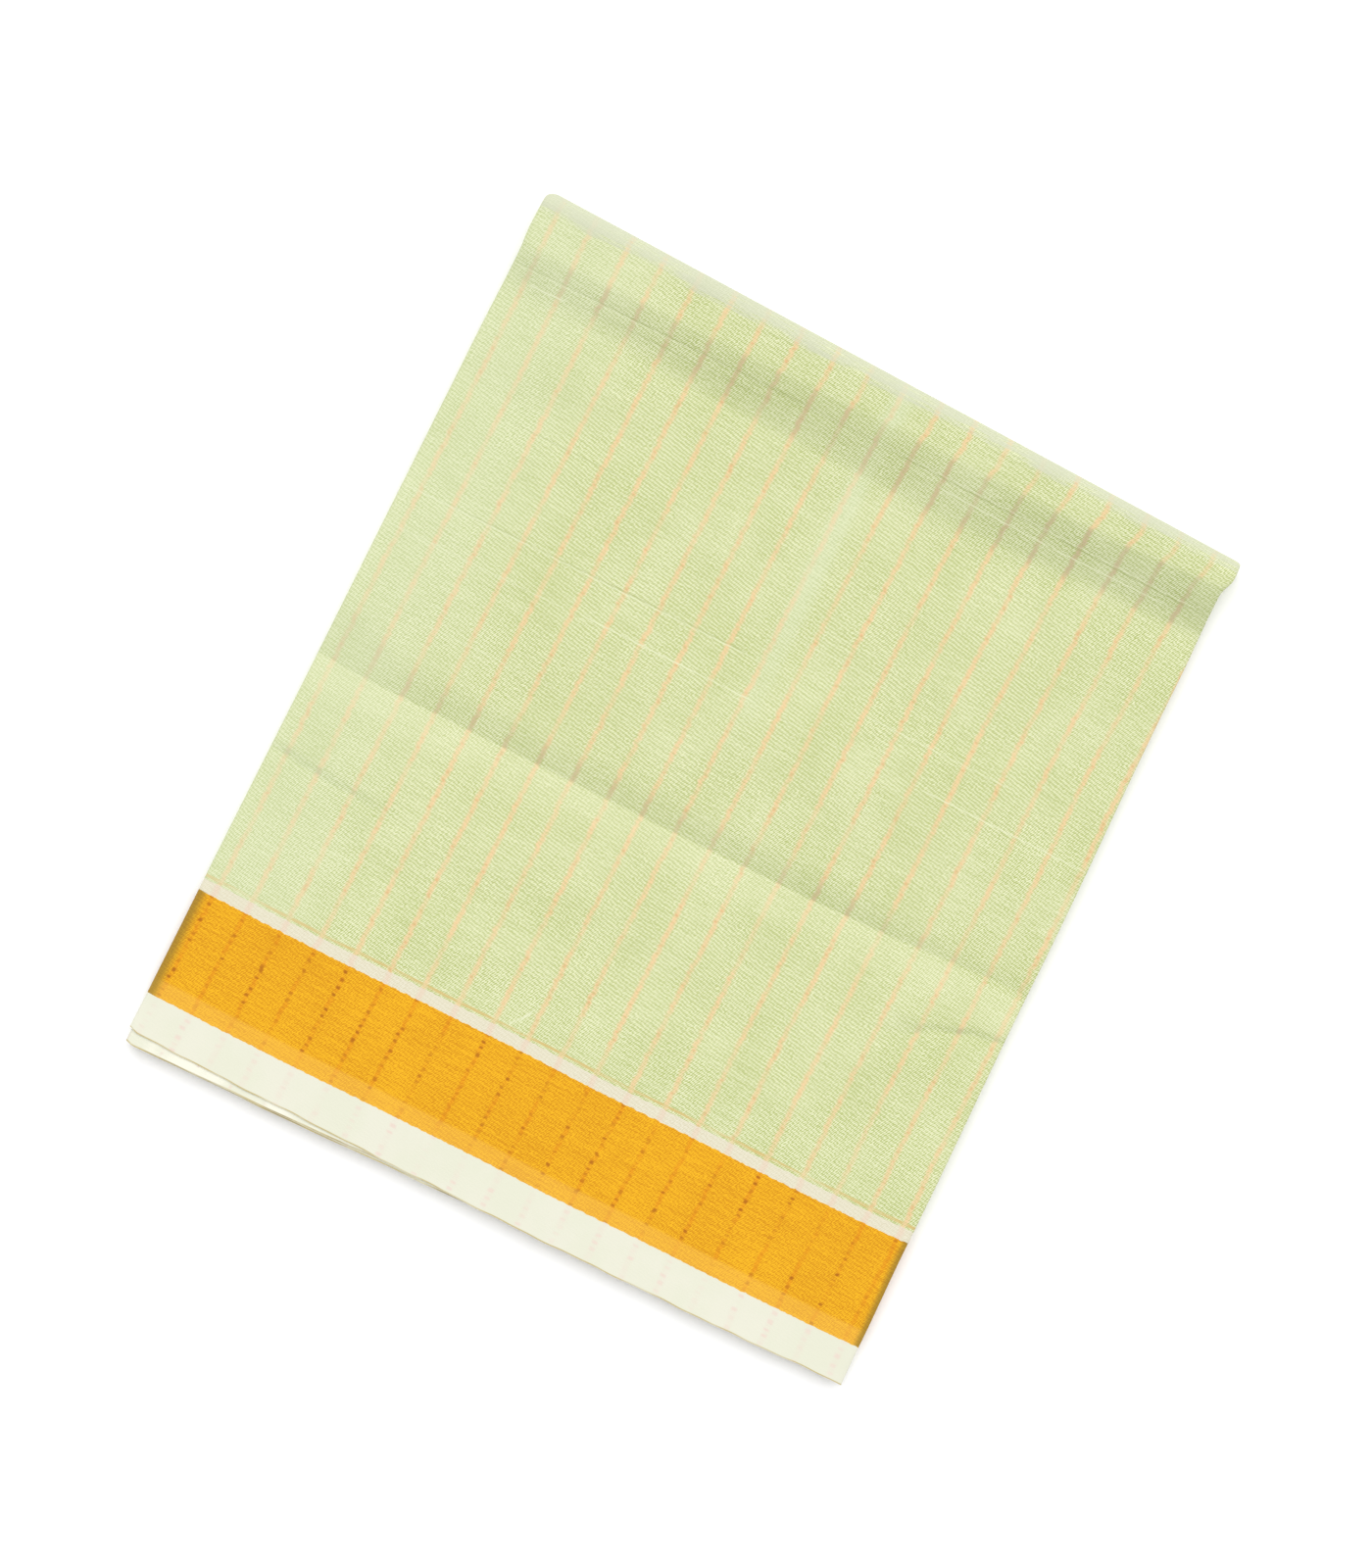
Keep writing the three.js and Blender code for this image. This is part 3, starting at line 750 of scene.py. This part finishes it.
def border_colours(tree, threads, stripes):
    """Gold border: its own yarn with a trace of the stripes, and the beads on them."""
    tone = cloth_tone(tree, threads, mottle=0.8, streak=1.6, thread=-1.6, base=0.4)
    orange = stain(tree, tone, BORDER_GOLD, BORDER_DEEP)
    line = times(tree, stripes["Stripe"], ramp(tree, stripes["Strength"], 0.4, 1, 0.08, 0.4))
    orange = stain(tree, line, orange, BORDER_LINE)
    return stain(tree, times(tree, stripes["Bead"], 0.85), orange, BORDER_BEAD)


def ecru_colours(tree, threads, stripes):
    ecru = stain(tree, swung(tree, threads["Threads"], -0.7, 0.35), ECRU, ECRU_FLECK)
    return stain(tree, times(tree, stripes["Stripe"], 0.4), ecru, ECRU_PINK)


def cream_colours(tree, threads, stripes, from_edge, edge_yarn, cream_dye=CREAM):
    """Selvedge: cream with the stripes faint in it, and another yarn within a millimetre of the edge."""
    cream = stain(tree, ramp(tree, threads["Mottle"], 0.35, 0.65, 0, 0.8), cream_dye, CREAM_SHADE)
    pink = times(tree, stripes["Stripe"], ramp(tree, stripes["Strength"], 0.6, 1, 0, 0.18))
    pink = reckon(tree, "ADD", pink, times(tree, stripes["Bead"], 0.75))
    cream = stain(tree, pink, cream, CREAM_PINK)
    edge = times(
        tree, ramp(tree, from_edge, 0.0012, 0.0004), ramp(tree, threads["Streak"], 0.35, 0.6, 0.5, 1),
        ramp(tree, from_edge, 0, 0.0003, 0.3, 1))
    return stain(tree, edge, cream, edge_yarn)


hidden_cotton, tree, shader, threads, stripes, weave, lay, press = cotton(
    "hidden_cotton", 0.9, 0.15, dye("f4f6e4"), unevenness=1, stripe_half=0.0012)
edge_yarn = stain(tree, ramp(tree, threads["Mottle"], 0.42, 0.6), EDGE_BROWN, EDGE_OLIVE)
# The inner layers' cream is painted lighter, lifting the shade where their edges show
colour = cream_colours(tree, threads, stripes, lay[1], edge_yarn, CREAM_INSIDE_PAINTED_LIGHT)
for line, zone_colours in (
    (SELVEDGE_TOP, border_colours), (BORDER_TOP, ecru_colours), (FIELD_START, field_colours),
):
    beyond = ramp(tree, lay[1], (line - 0.2) / 1000, (line + 0.2) / 1000)
    colour = stain(tree, beyond, colour, zone_colours(tree, threads, stripes))
finish_cotton(tree, shader, colour, threads["Height"], 0.18)

second_length = hidden_length(
    "second_length", begin=LEFT_RETURN, layers=[1, 8, 7, 2, 11, 10, 3, 6], finish=-246.5,
    setback=(1.5, 0.8))
second_length.data.materials.append(hidden_cotton)
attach(second_length, "root")
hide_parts("right_side_fold", "inner_layers")

first_length = hidden_length(
    "first_length", begin=RIGHT_RETURN, layers=[9, 4, 5], finish=-243.5, setback=(1, 1.6))
first_length.data.materials.append(hidden_cotton)
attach(first_length, "root")
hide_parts("right_fold_core")


# ------------------------
# Field of the outermost panel: pale green cotton with peach weft stripes. It wraps the whole half
# of the pack round the left side, turns under at the right, and runs over the fold to the back.

# Places of the weft stripes across the panel
STRIPE_PLACES = [
    -241.6, -218.4, -192.4, -168.7, -144.4, -119.6, -95.9, -71.6, -45.8, -21.8, 2.3, 27.1, 51.3, 76,
    100.3, 123.8, 148.5, 174, 197.7, 221.8, 245.2,
]
# Lean of the stripes: height, shift at the left, in the middle and at the right
STRIPE_LEAN = [
    (0, -5.4, -3.1, -0.2), (16, -5, -3, -0.6), (35, -3.9, -3, -1.3), (50, -3.4, -2.6, -1.2),
    (70, -2.6, -1.9, -0.4), (90, -1.6, -1, 0.2), (122, -0.7, -0.8, -0.4), (156, -0.2, -0.8, -0.9),
    (231, 0, 0, 0), (331, 0.3, 1.2, 0.6), (419, 1.6, 1.7, -0.3), (494, 2.2, 2.2, 2.5),
    (577, 1.9, 3.7, 6.3), (600, 1.9, 4, 6.6),
]


def outer_line():
    """Centreline of the outer panel: turned-under right end, panel, left fold and its return."""
    left_middle, right_middle = SIDE_FOLDS[(12, 1)][1], SIDE_FOLDS[(12, 9)][1]
    right_return = panel_between(9, RIGHT_RETURN, right_middle, steps=5)
    right_fold = fold_between(9, 12, steps=10)
    panel = panel_between(12, right_middle, left_middle, steps=118)
    left_fold = fold_between(12, 1, steps=16)
    left_return = panel_between(1, left_middle, LEFT_RETURN, steps=5)
    line = right_return + right_fold[1:] + panel[1:] + left_fold[1:] + left_return[1:]
    return np.array(line), len(right_return) + len(right_fold) - 2


outer, panel_start = outer_line()
outer_section = section_round(outer)
outer_run = length_along(outer)
outer_run = both_faces(outer[panel_start, 0] - (outer_run - outer_run[panel_start]))
outer_edges = selvedge_edges(share_of(outer_section[:, 0]))


def stripe_number(x, height):
    """Stripes counted across the panel, with whole numbers on their middles."""
    left, middle, right = (from_table(STRIPE_LEAN, column, height) for column in (1, 2, 3))
    share = np.clip(share_of(x), 0, 1)
    lean = np.where(share < 0.5, mixed(left, middle, share * 2), mixed(middle, right, share * 2 - 1))
    before = [STRIPE_PLACES[0] - STRIPE_PITCH * k for k in range(4, 0, -1)]
    after = [STRIPE_PLACES[-1] + STRIPE_PITCH * k for k in range(1, 5)]
    places = np.array(before + STRIPE_PLACES + after)
    return np.interp(x - lean, places, np.arange(len(places)))


# Bands of painted shade on the upper face, in the valley under the fold and along the creases: how
# softly they start above and end below, and (across, upper height, lower height, strength)
UPPER_SHADE_BANDS = [
    ("valley under the fold", 7, 18, [
        (-256, 563, 541, 0.35), (-200, 563, 539, 0.42), (-100, 563, 531, 0.4), (0, 564, 526, 0.4),
        (60, 563, 521, 0.42), (120, 562, 523, 0.55), (180, 562, 530, 0.65), (215, 564, 532, 0.72),
        (256, 567, 535, 0.75)]),
    ("lower edge of the valley", 10, 3, [
        (-256, 543, 539, 0), (100, 530, 524, 0), (160, 532, 526, 0.2), (215, 540, 530, 0.5),
        (256, 543, 534, 0.6)]),
    ("above the crease", 22, 1.4, [
        (-256, 310, 272.4, 0.3), (-228, 306, 270.4, 0.35), (-205, 290, 269.9, 0.4),
        (-100, 285, 269.8, 0.45), (0, 286, 269.9, 0.4), (100, 286, 270.6, 0.45), (150, 284, 272.4, 0.45),
        (190, 282, 274.8, 0.4), (215, 280.5, 276.4, 0.45), (256, 280, 278, 0.55)]),
    ("over the curved crease", 6, 1.4, [
        (168, 234, 214, 0), (190, 232, 221, 0.25), (197, 231, 223.5, 0.4), (205, 235, 230.8, 0.4),
        (220, 239, 235.3, 0.6), (229, 243.5, 239.4, 0.5), (241, 244.8, 240.8, 0.45),
        (256, 247.5, 243.8, 0.45)]),
    ("over the small crease", 6, 1.6, [
        (-256, 210, 204, 0.45), (-241, 209, 203.8, 0.6), (-218, 206, 201, 0.6), (-193, 204, 199, 0.45),
        (-170, 202, 197, 0.1), (-140, 200, 195, 0)]),
]
# Bands of painted shade on the underside, in the valley under the fold and beside the crease
UNDER_SHADE_BANDS = [
    ("valley under the fold", 8, 14, [(-256, 562, 540, 0.5), (0, 566, 536, 0.4), (256, 560, 534, 0.5)]),
    ("beside the crease", 14, 2, [(-256, 281, 267, 0.4), (0, 284, 269, 0.5), (256, 283, 270, 0.4)]),
]

# How far past the axis of the fold its painted highlight starts, at the left and at the right, and its
# reach
HIGHLIGHT_START = (-8, -3)
HIGHLIGHT_REACH = 11
# Height where the sides stop narrowing, as the stripes run on over the fold
SIDES_END = 555


def painted_shade_tone(x, y, bands):
    """How much painted shade the cloth has in the valley and along the creases, 0 to 1."""
    tone = np.zeros(x.shape)
    for _, above, below, rows in bands:
        places = [row[0] for row in rows]
        upper, lower, strength = (np.interp(x, places, [row[k] for row in rows]) for k in (1, 2, 3))
        start = eased((upper - y) / above + 0.5)
        end = eased((y - lower) / below + 0.5)
        tone = np.maximum(tone, strength * start * end)
    return tone


def outer_place(across, travel):
    """Maps of the outer panel. Its width is counted on round the side folds."""
    share = share_of(np.broadcast_to(outer_run, travel.shape))
    axis = fold_axis(share_of(across))
    height = np.minimum(travel, over_fold(travel, axis))
    narrowed = np.minimum(height, SIDES_END)
    x = mixed(from_table(SIDE_LINES, 1, narrowed), from_table(SIDE_LINES, 2, narrowed), share)
    near = from_selvedge(travel, share_of(across), outer_edges)
    on_face = travel < axis + FOLD_LENGTH / 2
    # Painted shade in the valley and along the creases, and painted highlight over the rounded fold
    pressed = np.where(on_face, painted_shade_tone(x, height, UPPER_SHADE_BANDS), painted_shade_tone(x, height, UNDER_SHADE_BANDS))
    fold_highlight = eased((height - axis - mixed(*HIGHLIGHT_START, share)) / HIGHLIGHT_REACH)
    weave = np.stack([stripe_number(x, height), travel / 1000], -1)
    lay = np.stack([share * PANEL_WIDTH / 1000, near / 1000], -1)
    return weave, lay, np.stack([pressed, fold_highlight], -1)


def outer_piece(name, stations):
    return run_cloth(name, outer_section, stations, outer_edges, face_relief, outer_place)


def spaced(start, end, step):
    count = max(1, round(abs(end - start) / step))
    return list(np.linspace(start, end, count + 1)[:-1])


front_heights = (
    spaced(FIELD_START, 192, 4) + spaced(192, 250, 2.2) + spaced(250, 264, 3) + spaced(264, 281, 1)
    + spaced(281, 366, 3.4) + spaced(366, 520, 4.4) + spaced(520, 556, 1.6) + spaced(556, FLAT_TOP, 3)
)
back_heights = (
    spaced(FLAT_TOP, 528, 4) + spaced(528, 300, 11) + spaced(300, 255, 3) + spaced(255, FIELD_START, 9)
    + [FIELD_START]
)
field_panel = outer_piece(
    "field_panel",
    [("front", h) for h in front_heights]
    + [("to fold", part) for part in (0, 0.2, 0.4, 0.6, 0.8)]
    + [("fold", part) for part in np.linspace(0, 1, 23)]
    + [("from fold", part) for part in (0.8, 0.6, 0.4, 0.2)]
    + [("back", h) for h in back_heights])


# Changes of colour up from the selvedge, in metres
ECRU_TO_GREEN = (0.1095, 0.1098)


def woven_edge(tree, lay):
    """Distance from the selvedge, uneven along the changes of colour as threads shift on the loom."""
    return swung(tree, drawn_noise(tree, lay[0], lay[1], 230, 0, 2, 0.6), 0.0019, lay[1])


def past(tree, from_edge, change):
    return ramp(tree, from_edge, change[0], change[1])


def before(tree, from_edge, change):
    return ramp(tree, from_edge, change[1], change[0])


field_cotton, tree, shader, threads, stripes, weave, lay, press = cotton(
    "field_cotton", 0.88, 0.2, dye("f7f9e6"), unevenness=1, stripe_half=0.0019)
colour = field_colours(tree, threads, stripes, press[0])

# Colours that only the field has: a dark yarn that also paints shade along fine creases, a painted
# highlight over the fold, a paler green that is also painted highlight, and a gold yarn
FIELD_DARK_YARN_AND_SHADE = dye("9aa566")
FIELD_PAINTED_HIGHLIGHT = dye("d3d6be")
FIELD_PALER_AND_HIGHLIGHT = dye("dfe8c4")
GOLD_THREAD = dye("d9c07c")

# Single thick or missing yarns across the panel, with pale and dark lines of painted highlight and
# painted shade along the fine creases in the valley under the fold, and last among the pale ones two
# small pulls over the border: where each starts and ends across, its height at both ends, half its
# width, its strength, in millimetres from the middle
PALE_YARNS_AND_HIGHLIGHTS = [
    (-256, 3, 392.5, 392.2, 0.45, 0.6), (79, 190, 391.2, 390.6, 0.45, 0.5),
    (-256, -120, 366, 366.6, 0.45, 0.45), (-114, 16, 367.7, 367.4, 0.45, 0.8),
    (30, 84, 365.3, 365.2, 0.45, 0.4), (133, 256, 364.7, 364.4, 0.45, 0.75),
    (-238, -212, 541.4, 542, 0.5, 0.8), (58, 142, 542.3, 539.8, 0.4, 0.7),
    (142, 227, 539.8, 540, 0.4, 0.6), (25, 250, 550.8, 546.2, 0.35, 0.5),
    (-256, -120, 549.8, 550.2, 0.35, 0.45), (-60, 40, 489.4, 489, 0.4, 0.35),
    (-210, -90, 318.2, 318, 0.4, 0.35), (60, 170, 148.4, 148.8, 0.4, 0.3),
    (-38, -27.5, 113.5, 125.5, 1.2, 0.55), (-32, -27.5, 119.5, 127, 1.7, 0.85),
]
DARK_YARNS_AND_SHADE = [
    (-256, -95, 551.2, 551.6, 0.4, 0.5), (-95, -40, 551.6, 551.8, 0.4, 0.3),
    (-256, -60, 543.8, 544, 0.4, 0.25), (25, 140, 549.4, 547, 0.4, 0.4),
    (140, 256, 547, 544.6, 0.5, 0.5), (-210, -120, 458.2, 458, 0.4, 0.3),
    (-231, 0, 393.7, 393.4, 0.45, 0.35),
]


def gap(tree, a, b):
    return reckon(tree, "ABSOLUTE", reckon(tree, "SUBTRACT", a, b))


field_tree = tree
tree, given, made = shader_group(
    "single_line", ["Lay", "Up", "Start", "End", "First", "Last", "Half Width", "Strength"], ["Yarn"])
line_group = tree
part = reckon(tree, "DIVIDE", reckon(tree, "SUBTRACT", given["Lay"], given["Start"]),
              reckon(tree, "SUBTRACT", given["End"], given["Start"]))
fall = reckon(tree, "SUBTRACT", given["Last"], given["First"])
line = reckon(tree, "MULTIPLY_ADD", part, fall, given["First"])
drawn = ramp(tree, reckon(tree, "DIVIDE", gap(tree, given["Up"], line), given["Half Width"]), 1.5, 0.3)
drawn = times(tree, drawn, ramp(tree, part, 0, 0.06), ramp(tree, part, 1, 0.94), given["Strength"])
tree.links.new(drawn, made["Yarn"])

tree = field_tree
up = parts_of(tree, weave)[1]
uneven = ramp(tree, threads["Streak"], 0.3, 0.6, 0.5, 1)
# Single yarns, and pale and dark lines of painted highlight and shade along the fine creases
for rows, line_colour in ((PALE_YARNS_AND_HIGHLIGHTS, FIELD_YARN_AND_HIGHLIGHT), (DARK_YARNS_AND_SHADE, FIELD_DARK_YARN_AND_SHADE)):
    lines_drawn = 0.0
    for x0, x1, y0, y1, half, strength in rows:
        one = place_group(
            tree, line_group, Lay=lay[0], Up=up, Start=(x0 + HALF_WIDTH) / 1000,
            End=(x1 + HALF_WIDTH) / 1000, First=y0 / 1000, Last=y1 / 1000,
            Half_Width=half / 1000, Strength=strength)
        lines_drawn = reckon(tree, "MAXIMUM", lines_drawn, one["Yarn"])
    colour = stain(tree, times(tree, lines_drawn, uneven), colour, line_colour)

# A gold yarn lies just above the ecru line, and the stripes cover it
gold_line = times(
    tree, ramp(tree, lay[1], 0.1135, 0.1127), ramp(tree, lay[1], 0.1107, 0.1115),
    ramp(tree, threads["Streak"], 0.35, 0.6, 0.2, 0.95),
    reckon(tree, "MULTIPLY_ADD", stripes["Stripe"], -0.8, 1))
colour = stain(tree, gold_line, colour, GOLD_THREAD)
colour = stain(tree, before(tree, woven_edge(tree, lay), ECRU_TO_GREEN), colour, ECRU)

# Paler towards the left side, with painted highlight along the ridge up the field and on the lip
# below the crease
HIGHLIGHT_RIDGE = 0.2655
colour = stain(tree, ramp(tree, lay[0], 0.12, 0.02, 0, 0.3), colour, FIELD_PALER_AND_HIGHLIGHT)
ridge_highlight = times(
    tree, ramp(tree, gap(tree, lay[0], HIGHLIGHT_RIDGE), 0.011, 0.002), ramp(tree, up, 0.3, 0.46),
    ramp(tree, press[0], 0, 0.5, 0.4, 0.1))
colour = stain(tree, ridge_highlight, colour, FIELD_PALER_AND_HIGHLIGHT)
lip_highlight = times(
    tree, ramp(tree, up, 0.2745, 0.2695), ramp(tree, up, 0.238, 0.262, 0, 0.2),
    ramp(tree, press[0], 0.3, 0))
colour = stain(tree, lip_highlight, colour, FIELD_PALE)

# Painted highlight in patches where it goes over the rounded fold
fold_highlight = swung(tree, threads["Streak"], 1.5, swung(tree, threads["Mottle"], 1.7, press[1]))
fold_highlight = times(tree, ramp(tree, fold_highlight, 0.2, 1.1, 0, 0.8), ramp(tree, press[1], 0, 0.3))
colour = stain(tree, fold_highlight, colour, FIELD_PAINTED_HIGHLIGHT)
finish_cotton(tree, shader, colour, threads["Height"], 0.2)
field_panel.data.materials.append(field_cotton)
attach(field_panel, "root")
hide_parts("field_front", "field_top_fold", "field_back")


# ------------------------
# Narrow ecru line between field and border, woven in the same panel: once on the face of the pack
# and once on its underside.
GOLD_TO_ECRU = (0.1015, 0.1018)
ecru_cotton, tree, shader, threads, stripes, weave, lay, press = cotton(
    "ecru_cotton", 0.88, 0.2, dye("fffaf0"), unevenness=1.2, stripe_half=0.0022)
colour = ecru_colours(tree, threads, stripes)
from_edge = woven_edge(tree, lay)
colour = stain(tree, before(tree, from_edge, GOLD_TO_ECRU), colour, BORDER_GOLD)
colour = stain(tree, past(tree, from_edge, ECRU_TO_GREEN), colour, FIELD_PALE)
finish_cotton(tree, shader, colour, threads["Height"], 0.2)

for name, side, heights, node in (
    ("ecru_line_face", "front", [BORDER_TOP, 103.5, 105.5, 107.5, FIELD_START], "ecru_line_front"),
    ("ecru_line_under", "back", [FIELD_START, 107, 104.5, BORDER_TOP], "ecru_line_back"),
):
    ecru_line = outer_piece(name, [(side, h) for h in heights])
    ecru_line.data.materials.append(ecru_cotton)
    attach(ecru_line, "root")
    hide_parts(node)


# ------------------------
# Deep gold border of the same panel, with knotted beads of the weft stripes on it. It is paler
# along its lower edge, and has painted shade where it goes round the side folds.
CREAM_TO_GOLD = (0.0278, 0.0281)
BORDER_SHADE = dye("86702a")
BORDER_PALE = dye("fbc455")
border_cotton, tree, shader, threads, stripes, weave, lay, press = cotton(
    "border_cotton", 0.85, 0.15, dye("ffe9b0"), unevenness=1.4, stripe_half=0.0016)
colour = border_colours(tree, threads, stripes)
pale_strip = times(tree, ramp(tree, lay[1], 0.0405, 0.0375), 0.36)
colour = stain(tree, pale_strip, colour, BORDER_PALE)
from_edge = woven_edge(tree, lay)
colour = stain(tree, past(tree, from_edge, GOLD_TO_ECRU), colour, ECRU)
colour = stain(tree, before(tree, from_edge, CREAM_TO_GOLD), colour, CREAM)
# Painted shade where the border goes round the side folds
left_shade = ramp(tree, lay[0], 0.009, 0.002)
right_shade = ramp(tree, lay[0], 0.502, 0.507)
shade = times(tree, reckon(tree, "MAXIMUM", left_shade, right_shade), 0.7)
colour = stain(tree, shade, colour, BORDER_SHADE)
finish_cotton(tree, shader, colour, threads["Height"], 0.28)

for name, side, heights, node in (
    ("border_face", "front", spaced(SELVEDGE_TOP, BORDER_TOP, 4.3) + [BORDER_TOP], "border_front"),
    ("border_under", "back", spaced(BORDER_TOP, SELVEDGE_TOP, 8) + [SELVEDGE_TOP], "border_back"),
):
    border = outer_piece(name, [(side, h) for h in heights])
    border.data.materials.append(border_cotton)
    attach(border, "root")
    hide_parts(node)


# ------------------------
# Plain cream selvedge band of the same panel, closely woven, with an olive yarn along its edge. It
# is the finished edge of the cloth and has no hem.
selvedge_cotton, tree, shader, threads, stripes, weave, lay, press = cotton(
    "selvedge_cotton", 0.85, 0.15, dye("fffff2"), unevenness=1.5, stripe_half=0.0024)
colour = cream_colours(tree, threads, stripes, lay[1], EDGE_OLIVE)
colour = stain(tree, past(tree, woven_edge(tree, lay), CREAM_TO_GOLD), colour, BORDER_PALE)
finish_cotton(tree, shader, colour, threads["Height"], 0.08)

for name, side, parts, node in (
    ("selvedge_face", "front edge", [0, 0.02, 0.06, 0.14, 0.28, 0.44, 0.6, 0.76, 0.9, 1],
     "selvedge_band_front"),
    ("selvedge_under", "back edge", [1, 0.85, 0.65, 0.45, 0.25, 0.1, 0.03, 0], "selvedge_band_back"),
):
    selvedge = outer_piece(name, [(side, part) for part in parts])
    selvedge.data.materials.append(selvedge_cotton)
    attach(selvedge, "root")
    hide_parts(node)


# ------------------------
# Pale floor that the pack lies on, soft studio light from beyond the fold, and the camera that
# looks straight down.
FLOOR_REACH = 40
FLOOR_DROP = 0.0002
FLOOR_TONE = 0.96
corners = [(x * FLOOR_REACH, y * FLOOR_REACH, -FLOOR_DROP) for x, y in ((-1, -1), (1, -1), (1, 1), (-1, 1))]
floor_mesh = bpy.data.meshes.new("floor")
floor_mesh.from_pydata(corners, [], [(0, 1, 2, 3)])
floor = placed("floor", floor_mesh)
floor_paint = bpy.data.materials.new("floor_paint")
floor_paint.use_nodes = True
paint = floor_paint.node_tree.nodes["Principled BSDF"]
paint.inputs["Base Color"].default_value = (FLOOR_TONE, FLOOR_TONE, FLOOR_TONE, 1)
paint.inputs["Roughness"].default_value = 0.9
paint.inputs["Specular IOR Level"].default_value = 0.1
floor_mesh.materials.append(floor_paint)

SKY_STRENGTH = 0.74
world = bpy.data.worlds.new("studio")
bpy.context.scene.world = world
world.use_nodes = True
sky = world.node_tree.nodes["Background"]
sky.inputs["Color"].default_value = (1, 1, 1, 1)
sky.inputs["Strength"].default_value = SKY_STRENGTH

key = bpy.data.lights.new("key", "SUN")
key.energy = 2.06
key.angle = math.radians(80)
key_lamp = placed("key", key)
LIGHT_FROM = Vector((-0.12, 0.49, 0.866)).normalized()
key_lamp.rotation_mode = "QUATERNION"
key_lamp.rotation_quaternion = LIGHT_FROM.to_track_quat("Z", "Y")

# Turn, middle and height of the view; the middle is told from the pack's own measures
VIEW_TURN = math.radians(26.5)
VIEW_MIDDLE = ((-4.98 + shift_x) / 1000, (301.2 + shift_y) / 1000)
VIEW_HEIGHT = 3.0
eye = bpy.data.cameras.new("camera")
eye.sensor_width = 36
eye.lens = 107.4
eye.clip_start = 0.05
eye.clip_end = 20
camera = placed("camera", eye)
camera.location = (*VIEW_MIDDLE, VIEW_HEIGHT)
camera.rotation_euler = (0, 0, VIEW_TURN)
bpy.context.scene.camera = camera
bpy.context.scene.view_settings.view_transform = "Standard"
